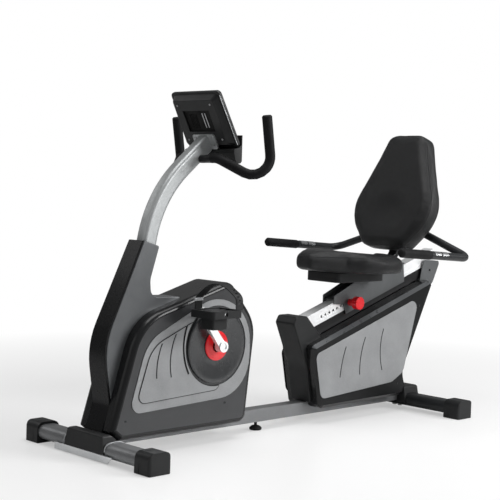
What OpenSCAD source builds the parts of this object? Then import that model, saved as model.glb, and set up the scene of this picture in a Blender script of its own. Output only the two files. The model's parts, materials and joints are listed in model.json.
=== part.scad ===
// Recumbent exercise bike with a belt-driven flywheel, a sliding seat and side handles.
// Millimetres. X runs from the front foot to the rear foot, +Y is the rider's right-hand side,
// Z is up from the floor. The origin lies on the floor under the middle of the bike.

/* [Floor frame] */
// Distance between the two floor stabilisers
foot_span = 1432; // [1380:1:1500]
// Length of a stabiliser over its end caps
stab_len = 620; // [560:1:700]
// Width of a stabiliser tube, front to back
stab_w = 76; // [64:1:84]
// Height of a stabiliser tube
stab_h = 46; // [40:1:50]
// Height of the tube's underside above the floor
stab_z = 12; // [9:1:16]
// Width of the main beam
beam_w = 46; // [40:1:54]
// Height of the main beam
beam_h = 44; // [38:1:48]
// Height of the beam's underside above the floor
beam_z = 31; // [28:1:36]
// Wall of the steel tubes
tube_wall = 2; // [1.5:0.1:2.5]

/* [Mast and handlebar] */
// Depth of the mast tube, front to back
mast_d = 55; // [50:1:58]
// Width of the mast tube
mast_w = 46; // [40:1:50]
// Radius of the bend in the mast
mast_bend = 386; // [340:1:420]
// Diameter of the handlebar tube
bar_d = 25; // [22:0.5:26]
// Outer diameter of the foam grips
grip_d = 32; // [30:0.5:36]
// Reach of the handlebar to each side
bar_reach = 216; // [200:1:240]

/* [Console] */
// Width of the console at its lower edge
console_w = 230; // [210:1:250]
// Height of the console's face
console_h = 186; // [180:1:200]
// Thickness of the console
console_t = 34; // [30:1:44]
// Lean of the console from upright, in degrees
console_lean = 28; // [24:1:32]

/* [Drive] */
// Length of a crank arm between its two holes
crank_len = 150; // [140:1:165]
// Diameter of the crank spindle
spindle_d = 20; // [17:1:22]
// Diameter of the crank pulley
pulley_d = 216; // [180:1:230]
// Diameter of the pulley on the flywheel hub
small_pulley_d = 32; // [28:1:40]
// Diameter of the flywheel
flywheel_d = 204; // [180:1:212]
// Thickness of the flywheel rim
flywheel_t = 20; // [14:1:24]
// Diameter of the pedal spindle
pedal_spindle_d = 14; // [12:1:16]
// Length of a pedal along its spindle
pedal_w = 108; // [96:1:108]
// Length of a pedal front to back
pedal_l = 122; // [105:1:130]

/* [Housings] */
// Distance of the shells' side faces from the middle plane
side_y = 83; // [78:1:88]
// Wall of the moulded shells
shell_wall = 3; // [2.5:0.1:4]
// Radius of the rounded rim of the drive shells
rim_r = 18; // [14:1:20]
// Diameter of the round cover over the crank
disc_d = 240; // [230:1:250]

/* [Seat] */
// Width of the seat rail
rail_w = 46; // [40:1:50]
// Height of the seat rail
rail_h = 46; // [42:1:50]
// Rise of the seat rail, in degrees
rail_rise = 18; // [16:0.5:20]
// Width of the seat cushion at the hips
seat_w = 372; // [340:1:400]
// Width of the back cushion at its widest
back_w = 362; // [330:1:380]
// Thickness of the back cushion
back_t = 74; // [60:1:78]
// Lean of the back cushion from upright, in degrees
back_lean = 17.5; // [14:0.5:20]
// Distance of the side handles from the middle plane
handle_y = 322; // [300:1:330]
// Diameter of the side handle tube
handle_d = 28; // [25:1:30]

/* [Hidden] */

$fn = 48;
gap = 0.3;          // room between parts that only meet
run = 0.05;         // running clearance on a radius
steel = "#8d9093";
dark_steel = "#3b3d40";
black = "#1b1c1e";
dark_grey = "#4a4d4f";
mid_grey = "#808384";
silver = "#a9acae";
red = "#d8202c";

beam_top = beam_z + beam_h;
stab_c = stab_z + stab_h / 2;               // height of a stabiliser's centre
cap_w = stab_w + 10;
cap_h = stab_z + stab_h + 8;
cap_len = 66;
rail_back = 158;                            // rail's rear end behind the rear stabiliser
cradle_back = 170;                          // cradle's rear end, the bike's rearmost point
origin_x = (foot_span + cradle_back - cap_w / 2) / 2;
rear_x = foot_span;

// ---------- lists of points ----------

function unit(v) = v / norm(v);
function total(v) = len(v) == 0 ? 0 : v * [for (x = v) 1];
function flat(p) = len(p) == 4 ? [p[0], p[1], p[2]] : [p[0], p[1]];
function size_of(p) = p[len(p) - 1];

// Corner b between a and c, rounded to radius r by n chords, in two or three dimensions
function corner(a, b, c, r, n) =
    let (u = unit(a - b), v = unit(c - b),
         half = acos(max(-1, min(1, u * v))) / 2,
         turn = 180 - 2 * half,
         centre = b + unit(u + v) * (r / sin(half)),
         p = b + u * (r / tan(half)) - centre,
         q = b + v * (r / tan(half)) - centre)
    r == 0 ? [b]
           : [for (i = [0:n]) centre + (p * sin(turn * (1 - i / n)) + q * sin(turn * i / n)) / sin(turn)];

// Closed outline through corners [x, z, radius]
function rounded(pts, n = 6) =
    let (m = len(pts))
    [for (i = [0:m - 1])
        each corner(flat(pts[(i + m - 1) % m]), flat(pts[i]), flat(pts[(i + 1) % m]), size_of(pts[i]), n)];

// Open path through points [x, y, z, radius]; the ends have no radius
function bent(pts, n = 6) =
    let (m = len(pts))
    [for (i = [0:m - 1])
        each i == 0 || i == m - 1
            ? [flat(pts[i])]
            : corner(flat(pts[i - 1]), flat(pts[i]), flat(pts[i + 1]), size_of(pts[i]), n)];

// Corners [x, z, radius] of the same outline drawn in by d
function turning(pts) =
    let (m = len(pts)) sign(total([for (i = [0:m - 1]) cross(flat(pts[i]), flat(pts[(i + 1) % m]))]));
function drawn_in(pts, d) =
    let (m = len(pts), s = turning(pts))
    [for (i = [0:m - 1])
        let (p = flat(pts[i]), u = unit(p - flat(pts[(i + m - 1) % m])), v = unit(flat(pts[(i + 1) % m]) - p),
             a = s * [-u[1], u[0]], k = unit(a + s * [-v[1], v[0]]), q = p + k * (d / max(0.4, k * a)),
             r = size_of(pts[i]))
        [q[0], q[1], r == 0 ? 0 : max(1, r - s * sign(cross(u, v)) * d)]];

// Corners with points added on long edges, so that none spans more than step degrees about c
function corner_reach(pts, i) =
    let (m = len(pts), p = flat(pts[i]), u = unit(p - flat(pts[(i + m - 1) % m])),
         v = unit(flat(pts[(i + 1) % m]) - p))
    size_of(pts[i]) * tan(acos(max(-1, min(1, u * v))) / 2);
function divided(pts, c, step) =
    let (m = len(pts))
    [for (i = [0:m - 1])
        let (p = flat(pts[i]), q = flat(pts[(i + 1) % m]), u = unit(q - p),
             a = p + u * corner_reach(pts, i), b = q - u * corner_reach(pts, (i + 1) % m),
             k = max(1, ceil(acos(max(-1, min(1, unit(a - c) * unit(b - c)))) / step)))
        each concat([pts[i]], [for (j = [1:1:k - 1]) concat(a + (b - a) * j / k, 0)])];

// Rectangle w by h about the origin with corners of radius r
function soft_rect(w, h, r, n = 3) =
    rounded([[-w / 2, -h / 2, r], [w / 2, -h / 2, r], [w / 2, h / 2, r], [-w / 2, h / 2, r]], n);

function ring(r, n) = [for (i = [0:n - 1]) r * [cos(360 * i / n), sin(360 * i / n)]];

// ---------- solids from rings of points ----------

function fan_volume(pts, f) =
    total([for (k = [1:len(f) - 2]) pts[f[0]] * cross(pts[f[k]], pts[f[k + 1]])]);
function flipped(f) = [for (i = [len(f) - 1:-1:0]) f[i]];

// Joins rings of equally many points into one closed solid. The last ring joins the first when
// looped; otherwise both ends are closed, flat or by a fan of triangles about the ring's middle.
// Ends that are hollow in side view are filled ear by ear.
module skin(rings, looped = false, fan = false, hollow = false) {
    n = len(rings[0]);
    m = len(rings);
    pts = [for (r = rings) each r, middle(rings[0]), middle(rings[m - 1])];
    sides = [for (i = [0:(looped ? m - 1 : m - 2)], j = [0:n - 1])
        let (a = i * n + j, b = i * n + (j + 1) % n,
             c = ((i + 1) % m) * n + (j + 1) % n, d = ((i + 1) % m) * n + j)
        each [[a, b, c], [a, c, d]]];
    ends = looped ? []
         : fan ? [for (j = [0:n - 1]) each [[m * n, (j + 1) % n, j],
                                            [m * n + 1, (m - 1) * n + j, (m - 1) * n + (j + 1) % n]]]
         : hollow ? concat([for (t = ears_of(rings[0])) flipped(t)],
                           [for (t = ears_of(rings[m - 1])) [for (i = t) i + (m - 1) * n]])
         : [[for (j = [n - 1:-1:0]) j], [for (j = [0:n - 1]) (m - 1) * n + j]];
    faces = concat(sides, ends);
    volume = total([for (f = faces) fan_volume(pts, f)]);
    polyhedron(pts, volume > 0 ? [for (f = faces) flipped(f)] : faces);
}
// Triangles that fill a ring, as places in it; its side view may be hollow
function side_of(a, b, c) = (b[0] - a[0]) * (c[1] - a[1]) - (b[1] - a[1]) * (c[0] - a[0]);
function covers(a, b, c, p) = min(side_of(a, b, p), side_of(b, c, p), side_of(c, a, p)) > -1e-9;
function is_ear(q, l, i) =
    let (n = len(l), a = q[l[(i + n - 1) % n]], b = q[l[i]], c = q[l[(i + 1) % n]])
    side_of(a, b, c) > 1e-6 && len([for (j = [2:n - 2]) if (covers(a, b, c, q[l[(i + j) % n]])) 1]) == 0;
function first_ear(q, l, i = 0) = i == len(l) ? 0 : is_ear(q, l, i) ? i : first_ear(q, l, i + 1);
function ears(q, l) = len(l) < 4 ? [l]
    : let (n = len(l), i = first_ear(q, l))
      concat([[l[(i + n - 1) % n], l[i], l[(i + 1) % n]]], ears(q, [for (j = [1:n - 1]) l[(i + j) % n]]));
function ears_of(ring) =
    let (n = len(ring),
         area = total([for (i = [0:n - 1]) let (p = ring[i], r = ring[(i + 1) % n]) p[0] * r[2] - r[0] * p[2]]))
    ears([for (p = ring) [p[0] * sign(area), p[2]]], [for (i = [0:n - 1]) i]);
function middle(loop) = [for (k = [0:2]) total([for (p = loop) p[k]]) / len(loop)];

// Rings of a section swept along a path; the section's second axis stays square to up
function swept(path, section, up) =
    let (m = len(path))
    [for (i = [0:m - 1])
        let (back = i == 0 ? [0, 0, 0] : unit(path[i] - path[i - 1]),
             ahead = i == m - 1 ? [0, 0, 0] : unit(path[i + 1] - path[i]),
             t = unit(back + ahead),
             n = unit(cross(t, up)), b = cross(n, t))
        [for (q = section) path[i] + n * q[0] + b * q[1]]];

module bar_along(path, section, up = [0, 0, 1]) { skin(swept(path, section, up)); }
module pipe_along(path, outer, inner, up = [0, 0, 1]) {
    a = swept(path, outer, up);
    b = swept(path, inner, up);
    skin(concat(a, [for (i = [len(b) - 1:-1:0]) b[i]]), looped = true);
}

// Moves the drawing from the front foot to the middle of the bike
module place() { translate([-origin_x, 0, 0]) children(); }
module place_rear() { translate([rear_x - origin_x, 0, 0]) children(); }
// Draws a part on the rider's left and its mirror image on the right
module both_sides() { children(); mirror([0, 1, 0]) children(); }
// Extrudes a side-view outline [x, z] from y0 to y1
module side_plate(y0, y1) { translate([0, y1, 0]) rotate([90, 0, 0]) linear_extrude(y1 - y0) children(); }
// A rod along Y between y0 and y1
module rod_y(x, z, d, y0, y1) { translate([x, y0, z]) rotate([-90, 0, 0]) cylinder(d = d, h = y1 - y0); }
module rod_z(x, y, d, z0, z1) { translate([x, y, z0]) cylinder(d = d, h = z1 - z0); }

// ---------- floor frame ----------

// Side view of a stabiliser tube: flat top and bottom, round front and back
module stab_section(grow = 0) {
    r = stab_h / 2 + grow;
    for (s = [-1, 1]) translate([s * (stab_w - stab_h) / 2, stab_c]) circle(r);
    translate([-(stab_w - stab_h) / 2, stab_c - r]) square([stab_w - stab_h, 2 * r]);
}

bolt_d = 8;
bolt_y = 13;            // offset of a joint bolt from the middle plane
bolt_x = 8;             // and from the middle of the stabiliser
module stabilizer(x) {
    color(steel) place() translate([x, 0, 0]) difference() {
        side_plate(-stab_len / 2 + 4, stab_len / 2 - 4) stab_section();
        side_plate(-stab_len / 2, stab_len / 2) stab_section(-tube_wall);
        for (s = [-1, 1]) rod_z(x == 0 ? bolt_x : -bolt_x, s * bolt_y, bolt_d + 0.6, 0, beam_top);
    }
}
module front_stabilizer() { stabilizer(0); }
module rear_stabilizer() { stabilizer(rear_x); }

// End cap: a block with a rounded top that stands on the floor and sleeves the tube
module stab_cap(x, s) {
    y_out = s * stab_len / 2;
    translate([x, 0, 0]) difference() {
        intersection() {
            side_plate(min(y_out, y_out - s * cap_len), max(y_out, y_out - s * cap_len))
                polygon(rounded([[-cap_w / 2, 0, 5], [cap_w / 2, 0, 5],
                                 [cap_w / 2 - 3, cap_h, 22], [-cap_w / 2 + 3, cap_h, 22]]));
            translate([-cap_w / 2 - 1, 0, -1]) linear_extrude(cap_h + 2)
                polygon([for (p = rounded([[0, y_out - s * cap_len, 2], [cap_w + 2, y_out - s * cap_len, 2],
                    [cap_w + 2, y_out, 12], [0, y_out, 12]])) p]);
        }
        side_plate(min(0, s * (stab_len / 2 - 3.7)), max(0, s * (stab_len / 2 - 3.7))) stab_section(0.15);
        // groove round the block behind its face
        side_plate(s * (stab_len / 2 - 44) - 1, s * (stab_len / 2 - 44) + 1) difference() {
            translate([-cap_w, -1]) square([2 * cap_w, cap_h + 4]);
            translate([-cap_w / 2 + 2, -2]) square([cap_w - 4, cap_h]);
        }
    }
}
module front_caps() { color(black) place() for (s = [-1, 1]) stab_cap(0, s); }
module rear_caps() { color(black) place() for (s = [-1, 1]) stab_cap(rear_x, s); }

// Main beam, notched at both ends to sit on the two stabilisers
module main_beam() {
    color(steel) place() difference() {
        translate([0, -beam_w / 2, beam_z]) cube([foot_span, beam_w, beam_h]);
        translate([-1, -beam_w / 2 + tube_wall, beam_z + tube_wall])
            cube([foot_span + 2, beam_w - 2 * tube_wall, beam_h - 2 * tube_wall]);
        for (x = [0, rear_x]) translate([x, 0, 0]) side_plate(-beam_w, beam_w) stab_section(0.2);
        for (x = [bolt_x, rear_x - bolt_x], s = [-1, 1])
            translate([x, s * bolt_y, beam_top - 3 * tube_wall]) cylinder(d = bolt_d + 0.6, h = 20);
        translate([center_foot_x, 0, 0]) cylinder(d = foot_stem_d + 0.2, h = beam_z + 2 * tube_wall);
    }
}

// Carriage bolts that clamp the beam to the stabilisers
module frame_bolts() {
    color(dark_steel) place() for (x = [bolt_x, rear_x - bolt_x], s = [-1, 1])
        translate([x, s * bolt_y, 0]) {
        rod_z(0, 0, bolt_d, stab_z - 4, beam_top + 7);
        rod_z(0, 0, 18, stab_z - 5, stab_z - gap);
        translate([0, 0, beam_top + 0.1]) cylinder(d = 15, h = 6.5, $fn = 6);
    }
}

// Levelling foot under the middle of the beam
center_foot_x = 674;
foot_stem_d = 10;
module center_foot() {
    color(black) place() translate([center_foot_x, 0, 0]) rotate_extrude()
        polygon([[0, 0], [19, 0], [21, 2], [21, 8], [13, 14], [foot_stem_d / 2, 16],
                 [foot_stem_d / 2, beam_z + tube_wall + 8], [0, beam_z + tube_wall + 8]]);
}

// Bright steel strip along the foot of the front stabiliser
module foot_plate() {
    x0 = -stab_w / 2 - 1.2;
    top = cover_z - gap;
    x1 = -(stab_w - stab_h) / 2 - sqrt(stab_h * stab_h / 4 - pow(stab_c - top, 2)) - gap;
    color("#c3c5c6") place() {
        translate([x0 - 2.6, 0, 0]) rotate([90, 0, 90]) linear_extrude(2.6)
            polygon([[-118, 2], [150, 2], [150, top], [-138, top]]);
        // lip that turns in to the tube
        translate([x0 - 1, -110, top - 2]) cube([x1 - x0 + 1, 250, 2]);
    }
}

// Moulded saddle over the joint of beam and stabiliser; the beam enters from the side of s.
// Under a shell its back slopes away.
cover_z = 24;           // lower edge of a joint cover
module joint_cover(s, w, top, back_slope) {
    x_in = stab_w / 2 + 4;
    profile = back_slope
        ? [[-x_in, cover_z, 3], [0, cover_z, 0], [0, 40, 0], [31, 47, 0], [-9, top, 6], [-x_in + 4, top, 7]]
        : [[-x_in, cover_z, 3], [x_in, cover_z, 3], [x_in - 3, top, 10], [-x_in + 3, top, 10]];
    difference() {
        intersection() {
            side_plate(-w, w) polygon(rounded(profile, 4));
            // ends taper towards the top
            translate([-100, 0, 0]) rotate([90, 0, 90]) linear_extrude(200)
                polygon(rounded([[-w, 20, 0], [w, 20, 0], [w - 13, top + 1, 9], [-w + 13, top + 1, 9]], 4));
        }
        side_plate(-w - 1, w + 1) stab_section(0.3);
        translate([s > 0 ? -0.4 : -99.6, -beam_w / 2 - 0.4, 0]) cube([100, beam_w + 0.8, beam_top + 8.5]);
    }
}
module front_joint_cover() { color(black) place() joint_cover(1, 100, beam_top + 5, true); }
module rear_joint_cover() { color(black) place_rear() joint_cover(-1, 66, beam_top + 12, false); }

// ---------- drive: places shared by frame, shells and moving parts ----------

crank_x = 406;
crank_z = 316;
bb_d = 46;              // shell that carries the crank bearings
bb_y = 32;              // half its length
wheel_x = 250;
wheel_z = 208;
wheel_y = -9;           // middle of the flywheel's rim
belt_y = 47;            // middle of the belt
belt_w = 9;
axle_d = 12;
dropout_y = 60;         // outer faces of the flywheel's two supports
mast_foot_x = 80;
mast_knee = [205, 784];                     // corner of the mast's bend
function mast_line(z) = mast_foot_x + (z - beam_top) * (mast_knee[0] - mast_foot_x) / (mast_knee[1] - beam_top);
post_d = mast_d - 2 * tube_wall - 2 * gap;
post_w = mast_w - 2 * tube_wall - 2 * gap;
post_top = 590;
sleeve_z = 520;         // lower end of the mast tube, slipped over the post

// Welded inner frame: mast post, bearing post with its shell, and the flywheel supports
module inner_frame() {
    color(dark_steel) place() {
        difference() {
            pipe_along([for (z = [beam_top, post_top]) [mast_line(z), 0, z]],
                       soft_rect(post_d, post_w, 11), soft_rect(post_d - 5, post_w - 5, 8.5), [0, 1, 0]);
            translate([-60, -40, beam_top - 30]) cube([300, 80, 30]);
        }
        difference() {
            union() {
                translate([crank_x - 20, -15, beam_top]) cube([40, 30, crank_z - beam_top]);
                rod_y(crank_x, crank_z, bb_d, -bb_y, bb_y);
            }
            rod_y(crank_x, crank_z, spindle_d + 6, -bb_y - 1, bb_y + 1);
            for (s = [-1, 1]) rod_y(crank_x, crank_z, bearing_d + 0.1, s > 0 ? bb_y - 12 : -bb_y - 1,
                                    s > 0 ? bb_y + 1 : -bb_y + 12);
        }
        // ear for the brake yoke's pin
        difference() {
            side_plate(wheel_y - 6, wheel_y + 6) union() {
                translate(yoke_pivot) circle(8);
                translate([yoke_pivot[0] - 14.5, yoke_pivot[1] - 8]) square([14.5, 16]);
            }
            rod_y(yoke_pivot[0], yoke_pivot[1], yoke_pin_d + 2 * run, wheel_y - 8, wheel_y + 8);
        }
        // two uprights from a cross plate on the beam to the flywheel axle
        difference() {
            union() {
                for (s = [-1, 1]) side_plate(s > 0 ? dropout_y - 4 : -dropout_y + 20, s > 0 ? dropout_y : -dropout_y + 24)
                    polygon([[wheel_x - 34, beam_top], [wheel_x + 34, beam_top],
                             [wheel_x + 14, wheel_z + 16], [wheel_x - 14, wheel_z + 16]]);
                translate([wheel_x - 34, -dropout_y + 20, beam_top]) cube([68, 2 * dropout_y - 20, 4]);
            }
            rod_y(wheel_x, wheel_z, axle_d + 0.2, -dropout_y, dropout_y + 1);
        }
    }
}

bearing_d = 36;
module crank_bearings() {
    color(silver) place() for (s = [-1, 1]) difference() {
        rod_y(crank_x, crank_z, bearing_d, s > 0 ? bb_y - 12 : -bb_y, s > 0 ? bb_y : -bb_y + 12);
        rod_y(crank_x, crank_z, spindle_d + 2 * run, -bb_y - 1, bb_y + 1);
    }
}

module flywheel_axle() {
    color(steel) place() {
        rod_y(wheel_x, wheel_z, axle_d, -dropout_y + 8, dropout_y + 12);
        for (s = [-1, 1]) difference() {
            translate([wheel_x, s > 0 ? dropout_y + 0.1 : -dropout_y + 19.9, wheel_z]) rotate([s * -90, 0, 0])
                cylinder(d = 22, h = 8, $fn = 6);
            rod_y(wheel_x, wheel_z, axle_d - 1, -dropout_y, dropout_y + 10);
        }
    }
}

// Flywheel with a thick rim, a web and the small belt pulley on one hub
module flywheel() {
    r = flywheel_d / 2;
    t = flywheel_t / 2;
    bore = axle_d / 2 + run;
    color("#6d7073") place() translate([wheel_x, wheel_y, wheel_z]) rotate([-90, 0, 0]) rotate_extrude($fn = 96)
        polygon([[bore, -t - 5], [20, -t - 5], [24, -t + 6], [r - 26, -t + 6], [r - 20, -t], [r - 1, -t],
                 [r, -t + 1], [r, t - 1], [r - 1, t], [r - 20, t], [r - 26, t - 6], [24, t - 6],
                 [14, t + 4], [14, belt_y - wheel_y - belt_w / 2 - 3],
                 [small_pulley_d / 2 + 3, belt_y - wheel_y - belt_w / 2 - 3],
                 [small_pulley_d / 2 + 3, belt_y - wheel_y - belt_w / 2 - 1],
                 [small_pulley_d / 2, belt_y - wheel_y - belt_w / 2 - 1],
                 [small_pulley_d / 2, belt_y - wheel_y + belt_w / 2 + 1.5],
                 [bore, belt_y - wheel_y + belt_w / 2 + 1.5]]);
}

module crank_pulley() {
    r = pulley_d / 2;
    b = belt_w / 2;
    color(black) place() difference() {
        translate([crank_x, belt_y, crank_z]) rotate([-90, 0, 0]) rotate_extrude($fn = 96)
            polygon([[spindle_d / 2 + run, -b - 5], [24, -b - 5], [28, -3], [r - 10, -3], [r - 6, -b - 2],
                     [r + 2, -b - 2], [r + 2, -b - 0.5], [r, -b - 0.5], [r, b + 0.5], [r + 2, b + 0.5],
                     [r + 2, b + 2], [r - 6, b + 2], [r - 10, 3], [28, 3], [24, b + 5], [spindle_d / 2 + run, b + 5]]);
        for (a = [0:60:300]) rod_y(crank_x + 64 * cos(a), crank_z + 64 * sin(a), 36, belt_y - 10, belt_y + 10);
    }
}

// Flat belt loop round the two pulleys
function belt_loop(grow) =
    let (dx = wheel_x - crank_x, dz = wheel_z - crank_z, a = atan2(dz, dx), d = norm([dx, dz]),
         r0 = pulley_d / 2 + grow, r1 = small_pulley_d / 2 + grow, wrap = acos((r0 - r1) / d))
    concat([for (i = [0:24]) [crank_x, crank_z] + r0 * [cos(a + wrap + i / 24 * (360 - 2 * wrap)),
                                                       sin(a + wrap + i / 24 * (360 - 2 * wrap))]],
           [for (i = [0:8]) [wheel_x, wheel_z] + r1 * [cos(a - wrap + i / 8 * 2 * wrap),
                                                      sin(a - wrap + i / 8 * 2 * wrap)]]);
module drive_belt() {
    color(black) place() side_plate(belt_y - belt_w / 2, belt_y + belt_w / 2) difference() {
        polygon(belt_loop(2.6));
        polygon(belt_loop(0.6));
    }
}

// Magnet yoke that reaches over the flywheel's rim and hinges on an ear of the mast post
yoke_pivot = [152, 262];
yoke_a0 = 112;
yoke_pin_d = 8;
collar_d = 12;
function arc_pts(r, a0, a1, n = 8) =
    [for (i = [0:n]) [wheel_x, wheel_z] + r * [cos(a0 + i / n * (a1 - a0)), sin(a0 + i / n * (a1 - a0))]];
function yoke_arc(r0, r1, a1) = concat(arc_pts(r0, yoke_a0, a1), arc_pts(r1, a1, yoke_a0));
module brake_yoke() {
    r = flywheel_d / 2;
    t = flywheel_t / 2;
    color(silver) place() {
        for (s = [-1, 1]) {
            side_plate(wheel_y + (s > 0 ? t + 3 : -t - 6), wheel_y + (s > 0 ? t + 6 : -t - 3)) union() {
                polygon(yoke_arc(r - 18, r + 8, 148));
                translate(yoke_pivot) circle(9);
            }
            // magnets on the inner faces
            for (a = [118, 129, 140])
                rod_y(wheel_x + (r - 10) * cos(a), wheel_z + (r - 10) * sin(a), 13,
                      s > 0 ? wheel_y + t + 1.2 : wheel_y - t - 3, s > 0 ? wheel_y + t + 3 : wheel_y - t - 1.2);
        }
        side_plate(wheel_y - t - 6, wheel_y + t + 6) polygon(yoke_arc(r + 4, r + 8, 140));
        rod_y(yoke_pivot[0], yoke_pivot[1], yoke_pin_d, wheel_y - t - 7, wheel_y + t + 7);
    }
}

servo_top = 452;
module servo_motor() {
    x = mast_line(servo_top) + post_d / 2 + 0.8;
    color(black) place() {
        translate([x, -18, servo_top - 52]) cube([44, 36, 52]);
        rod_y(x + 26, servo_top - 26, 26, 18, 22);
    }
}

// ---------- crank ----------

crank_a = 128;          // rest angle of the left arm above the floor, towards the back
arm_y = 106;            // inner face of a crank arm
arm_t = 14;
module crank_spindle() {
    color(steel) place() {
        rod_y(crank_x, crank_z, spindle_d, -arm_y - arm_t + 3, arm_y + arm_t - 3);
        rod_y(crank_x, crank_z, spindle_d + 12, bb_y + gap, belt_y - belt_w / 2 - 5 - 0.05);
    }
}

// Tapered forged arm with two eyes, along +X from the spindle
module crank_arm() {
    difference() {
        union() {
            rod_y(0, 0, 36, -arm_y - arm_t - 4, -arm_y + 8);
            rod_y(crank_len, 0, 28, -arm_y - arm_t, -arm_y);
            side_plate(-arm_y - arm_t, -arm_y) polygon([[4, 14], [crank_len - 2, 10.5], [crank_len - 2, -10.5], [4, -14]]);
        }
        rod_y(0, 0, spindle_d + 0.1, -arm_y - arm_t + 2.95, 0);
        rod_y(0, 0, 22, -arm_y - arm_t - 5, -arm_y - arm_t);
        rod_y(crank_len, 0, pedal_spindle_d + 0.1, -arm_y - arm_t - 1, 0);
    }
}
module turned_to_crank(s) {
    place() translate([crank_x, 0, crank_z]) rotate([0, s > 0 ? 180 - crank_a : -crank_a, 0])
        mirror([0, s > 0 ? 1 : 0, 0]) children();
}
module crank_arms() { color("#d6d8da") for (s = [-1, 1]) turned_to_crank(s) crank_arm(); }

pedal_y = 176;          // middle of a pedal
module pedal_spindles() {
    color(steel) for (s = [-1, 1]) turned_to_crank(s) {
        rod_y(crank_len, 0, pedal_spindle_d, -pedal_y - pedal_w / 2 + 6, -arm_y);
        rod_y(crank_len, 0, pedal_spindle_d + 6, -arm_y - arm_t - 1.5, -arm_y - arm_t - 0.05);
    }
}

// Pedal: a broad tread plate over a weighted block, bored for its spindle
function pedal_at(s) = [crank_x + (s < 0 ? 1 : -1) * crank_len * cos(crank_a), s * pedal_y,
                        crank_z + (s < 0 ? 1 : -1) * crank_len * sin(crank_a)];
pedal_top = 10;         // tread above the spindle's axis
pedal_shift = 7;        // middle of the tread behind the spindle
module pedal(s) {
    l = pedal_l / 2;
    w = pedal_w / 2;
    color(black) place() translate(pedal_at(s)) difference() {
        union() {
            // tread plate with a raised rim front and back
            translate([pedal_shift, 0, -13]) linear_extrude(13 + pedal_top)
                polygon(rounded([[-l, -w, 10], [l, -w, 10], [l, w, 10], [-l, w, 10]], 5));
            // weight under the tread
            translate([-32, -w + 24, -49]) linear_extrude(40)
                polygon(rounded([[0, 0, 6], [60, 0, 6], [60, 2 * w - 48, 6], [0, 2 * w - 48, 6]], 3));
        }
        for (k = [-1, 1], j = [-1, 0, 1])
            translate([pedal_shift + k * (l - 20) - 9, j * 28 - 9, -14]) cube([18, 18, 40]);
        translate([pedal_shift - l + 9, -w + 9, pedal_top - 3]) cube([2 * l - 18, 2 * w - 18, 9]);
        rod_y(0, 0, pedal_spindle_d + 2 * run, -w - 1, w + 1);
    }
}
module pedal_left() { pedal(-1); }
module pedal_right() { pedal(1); }

// Soft strap that arches slantwise over the tread from its inner to its outer edge
strap_w = 30;
strap_rise = 92;
module strap(s) {
    w = pedal_w / 2;
    foot = pedal_top + gap;
    arch = bent([[-24, -s * (w - 5), foot, 0], [-24, -s * (w - 5), 46, 26], [14, 0, strap_rise + 16, 52],
                 [56, s * (w - 4), 50, 30], [56, s * (w - 4), foot, 0]], 7);
    color(black) place() translate(pedal_at(s)) bar_along(arch, soft_rect(3.6, strap_w, 1.2, 1), [1, 0, 0]);
}
module strap_left() { strap(-1); }
module strap_right() { strap(1); }

// ---------- drive housing ----------

// Half width of the shroud's side face at height z
function shroud_y(z) = 42.5 - 9 * (z - beam_top) / (651 - beam_top);

lap_x = 292;            // rear end of the shroud's lip
function shell_ridge(x) = 414 + (x - 98.6) * (522 - 414) / (470 - 98.6);
// Side view of the drive shells
shroud_foot = beam_top + 5.5;              // lower edge of the shroud
shell_corners = divided([[-4, 84, 6], [34, 53, 9], [549, 53, 32], [587, 378, 130], [470, 522, 46],
    [lap_x + 6, shell_ridge(lap_x + 6), 0], [lap_x + 1.5, shell_ridge(lap_x + 1.5), 0], [98.6, 414, 170]],
    [crank_x, crank_z], 12);

// Seam of a drive shell: against the shroud at the front, the beam below, its twin elsewhere
function shell_seam(p) =
    p[1] < beam_top + 1 && p[0] > 8 ? beam_w / 2 + gap
    : p[0] < lap_x + 3 && p[1] < 478 ? shroud_y(p[1]) + gap
    : 0.15;

// Half shell on the rider's left: corners, seam depth per point, side face, rim and an opening
module half_shell(pts, seam, side, rim, wall, hole_c, hole_r, steps = 4, steps_in = 2) {
    loop = rounded(pts, 7);
    inner = rounded(drawn_in(pts, wall), 7);
    rings_out = [for (i = [0:steps]) let (a = 90 * i / steps)
        [for (p = rounded(drawn_in(pts, rim * (1 - cos(a))), 7)) [p[0], -(side - rim + rim * sin(a)), p[1]]]];
    rings_in = [for (i = [steps_in:-1:0]) let (a = 90 * i / steps_in, r = rim - wall)
        [for (p = rounded(drawn_in(pts, wall + r * (1 - cos(a))), 7)) [p[0], -(side - rim + r * sin(a)), p[1]]]];
    hole = [for (p = rounded(drawn_in(pts, rim), 7)) hole_c + hole_r * unit(p - hole_c)];
    skin(concat([[for (p = loop) [p[0], -seam(p), p[1]]]], rings_out,
                [[for (p = hole) [p[0], -side, p[1]]], [for (p = hole) [p[0], -side + wall, p[1]]]],
                rings_in, [[for (i = [0:len(loop) - 1]) [inner[i][0], -seam(loop[i]), inner[i][1]]]]),
         looped = true);
}

module drive_shell() {
    half_shell(shell_corners, function(p) shell_seam(p), side_y, rim_r, shell_wall,
               [crank_x, crank_z], disc_d / 2 - 16);
}
module shell_left() { color(dark_grey) place() drive_shell(); }
module shell_right() { color(dark_grey) place() mirror([0, 1, 0]) drive_shell(); }

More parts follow.
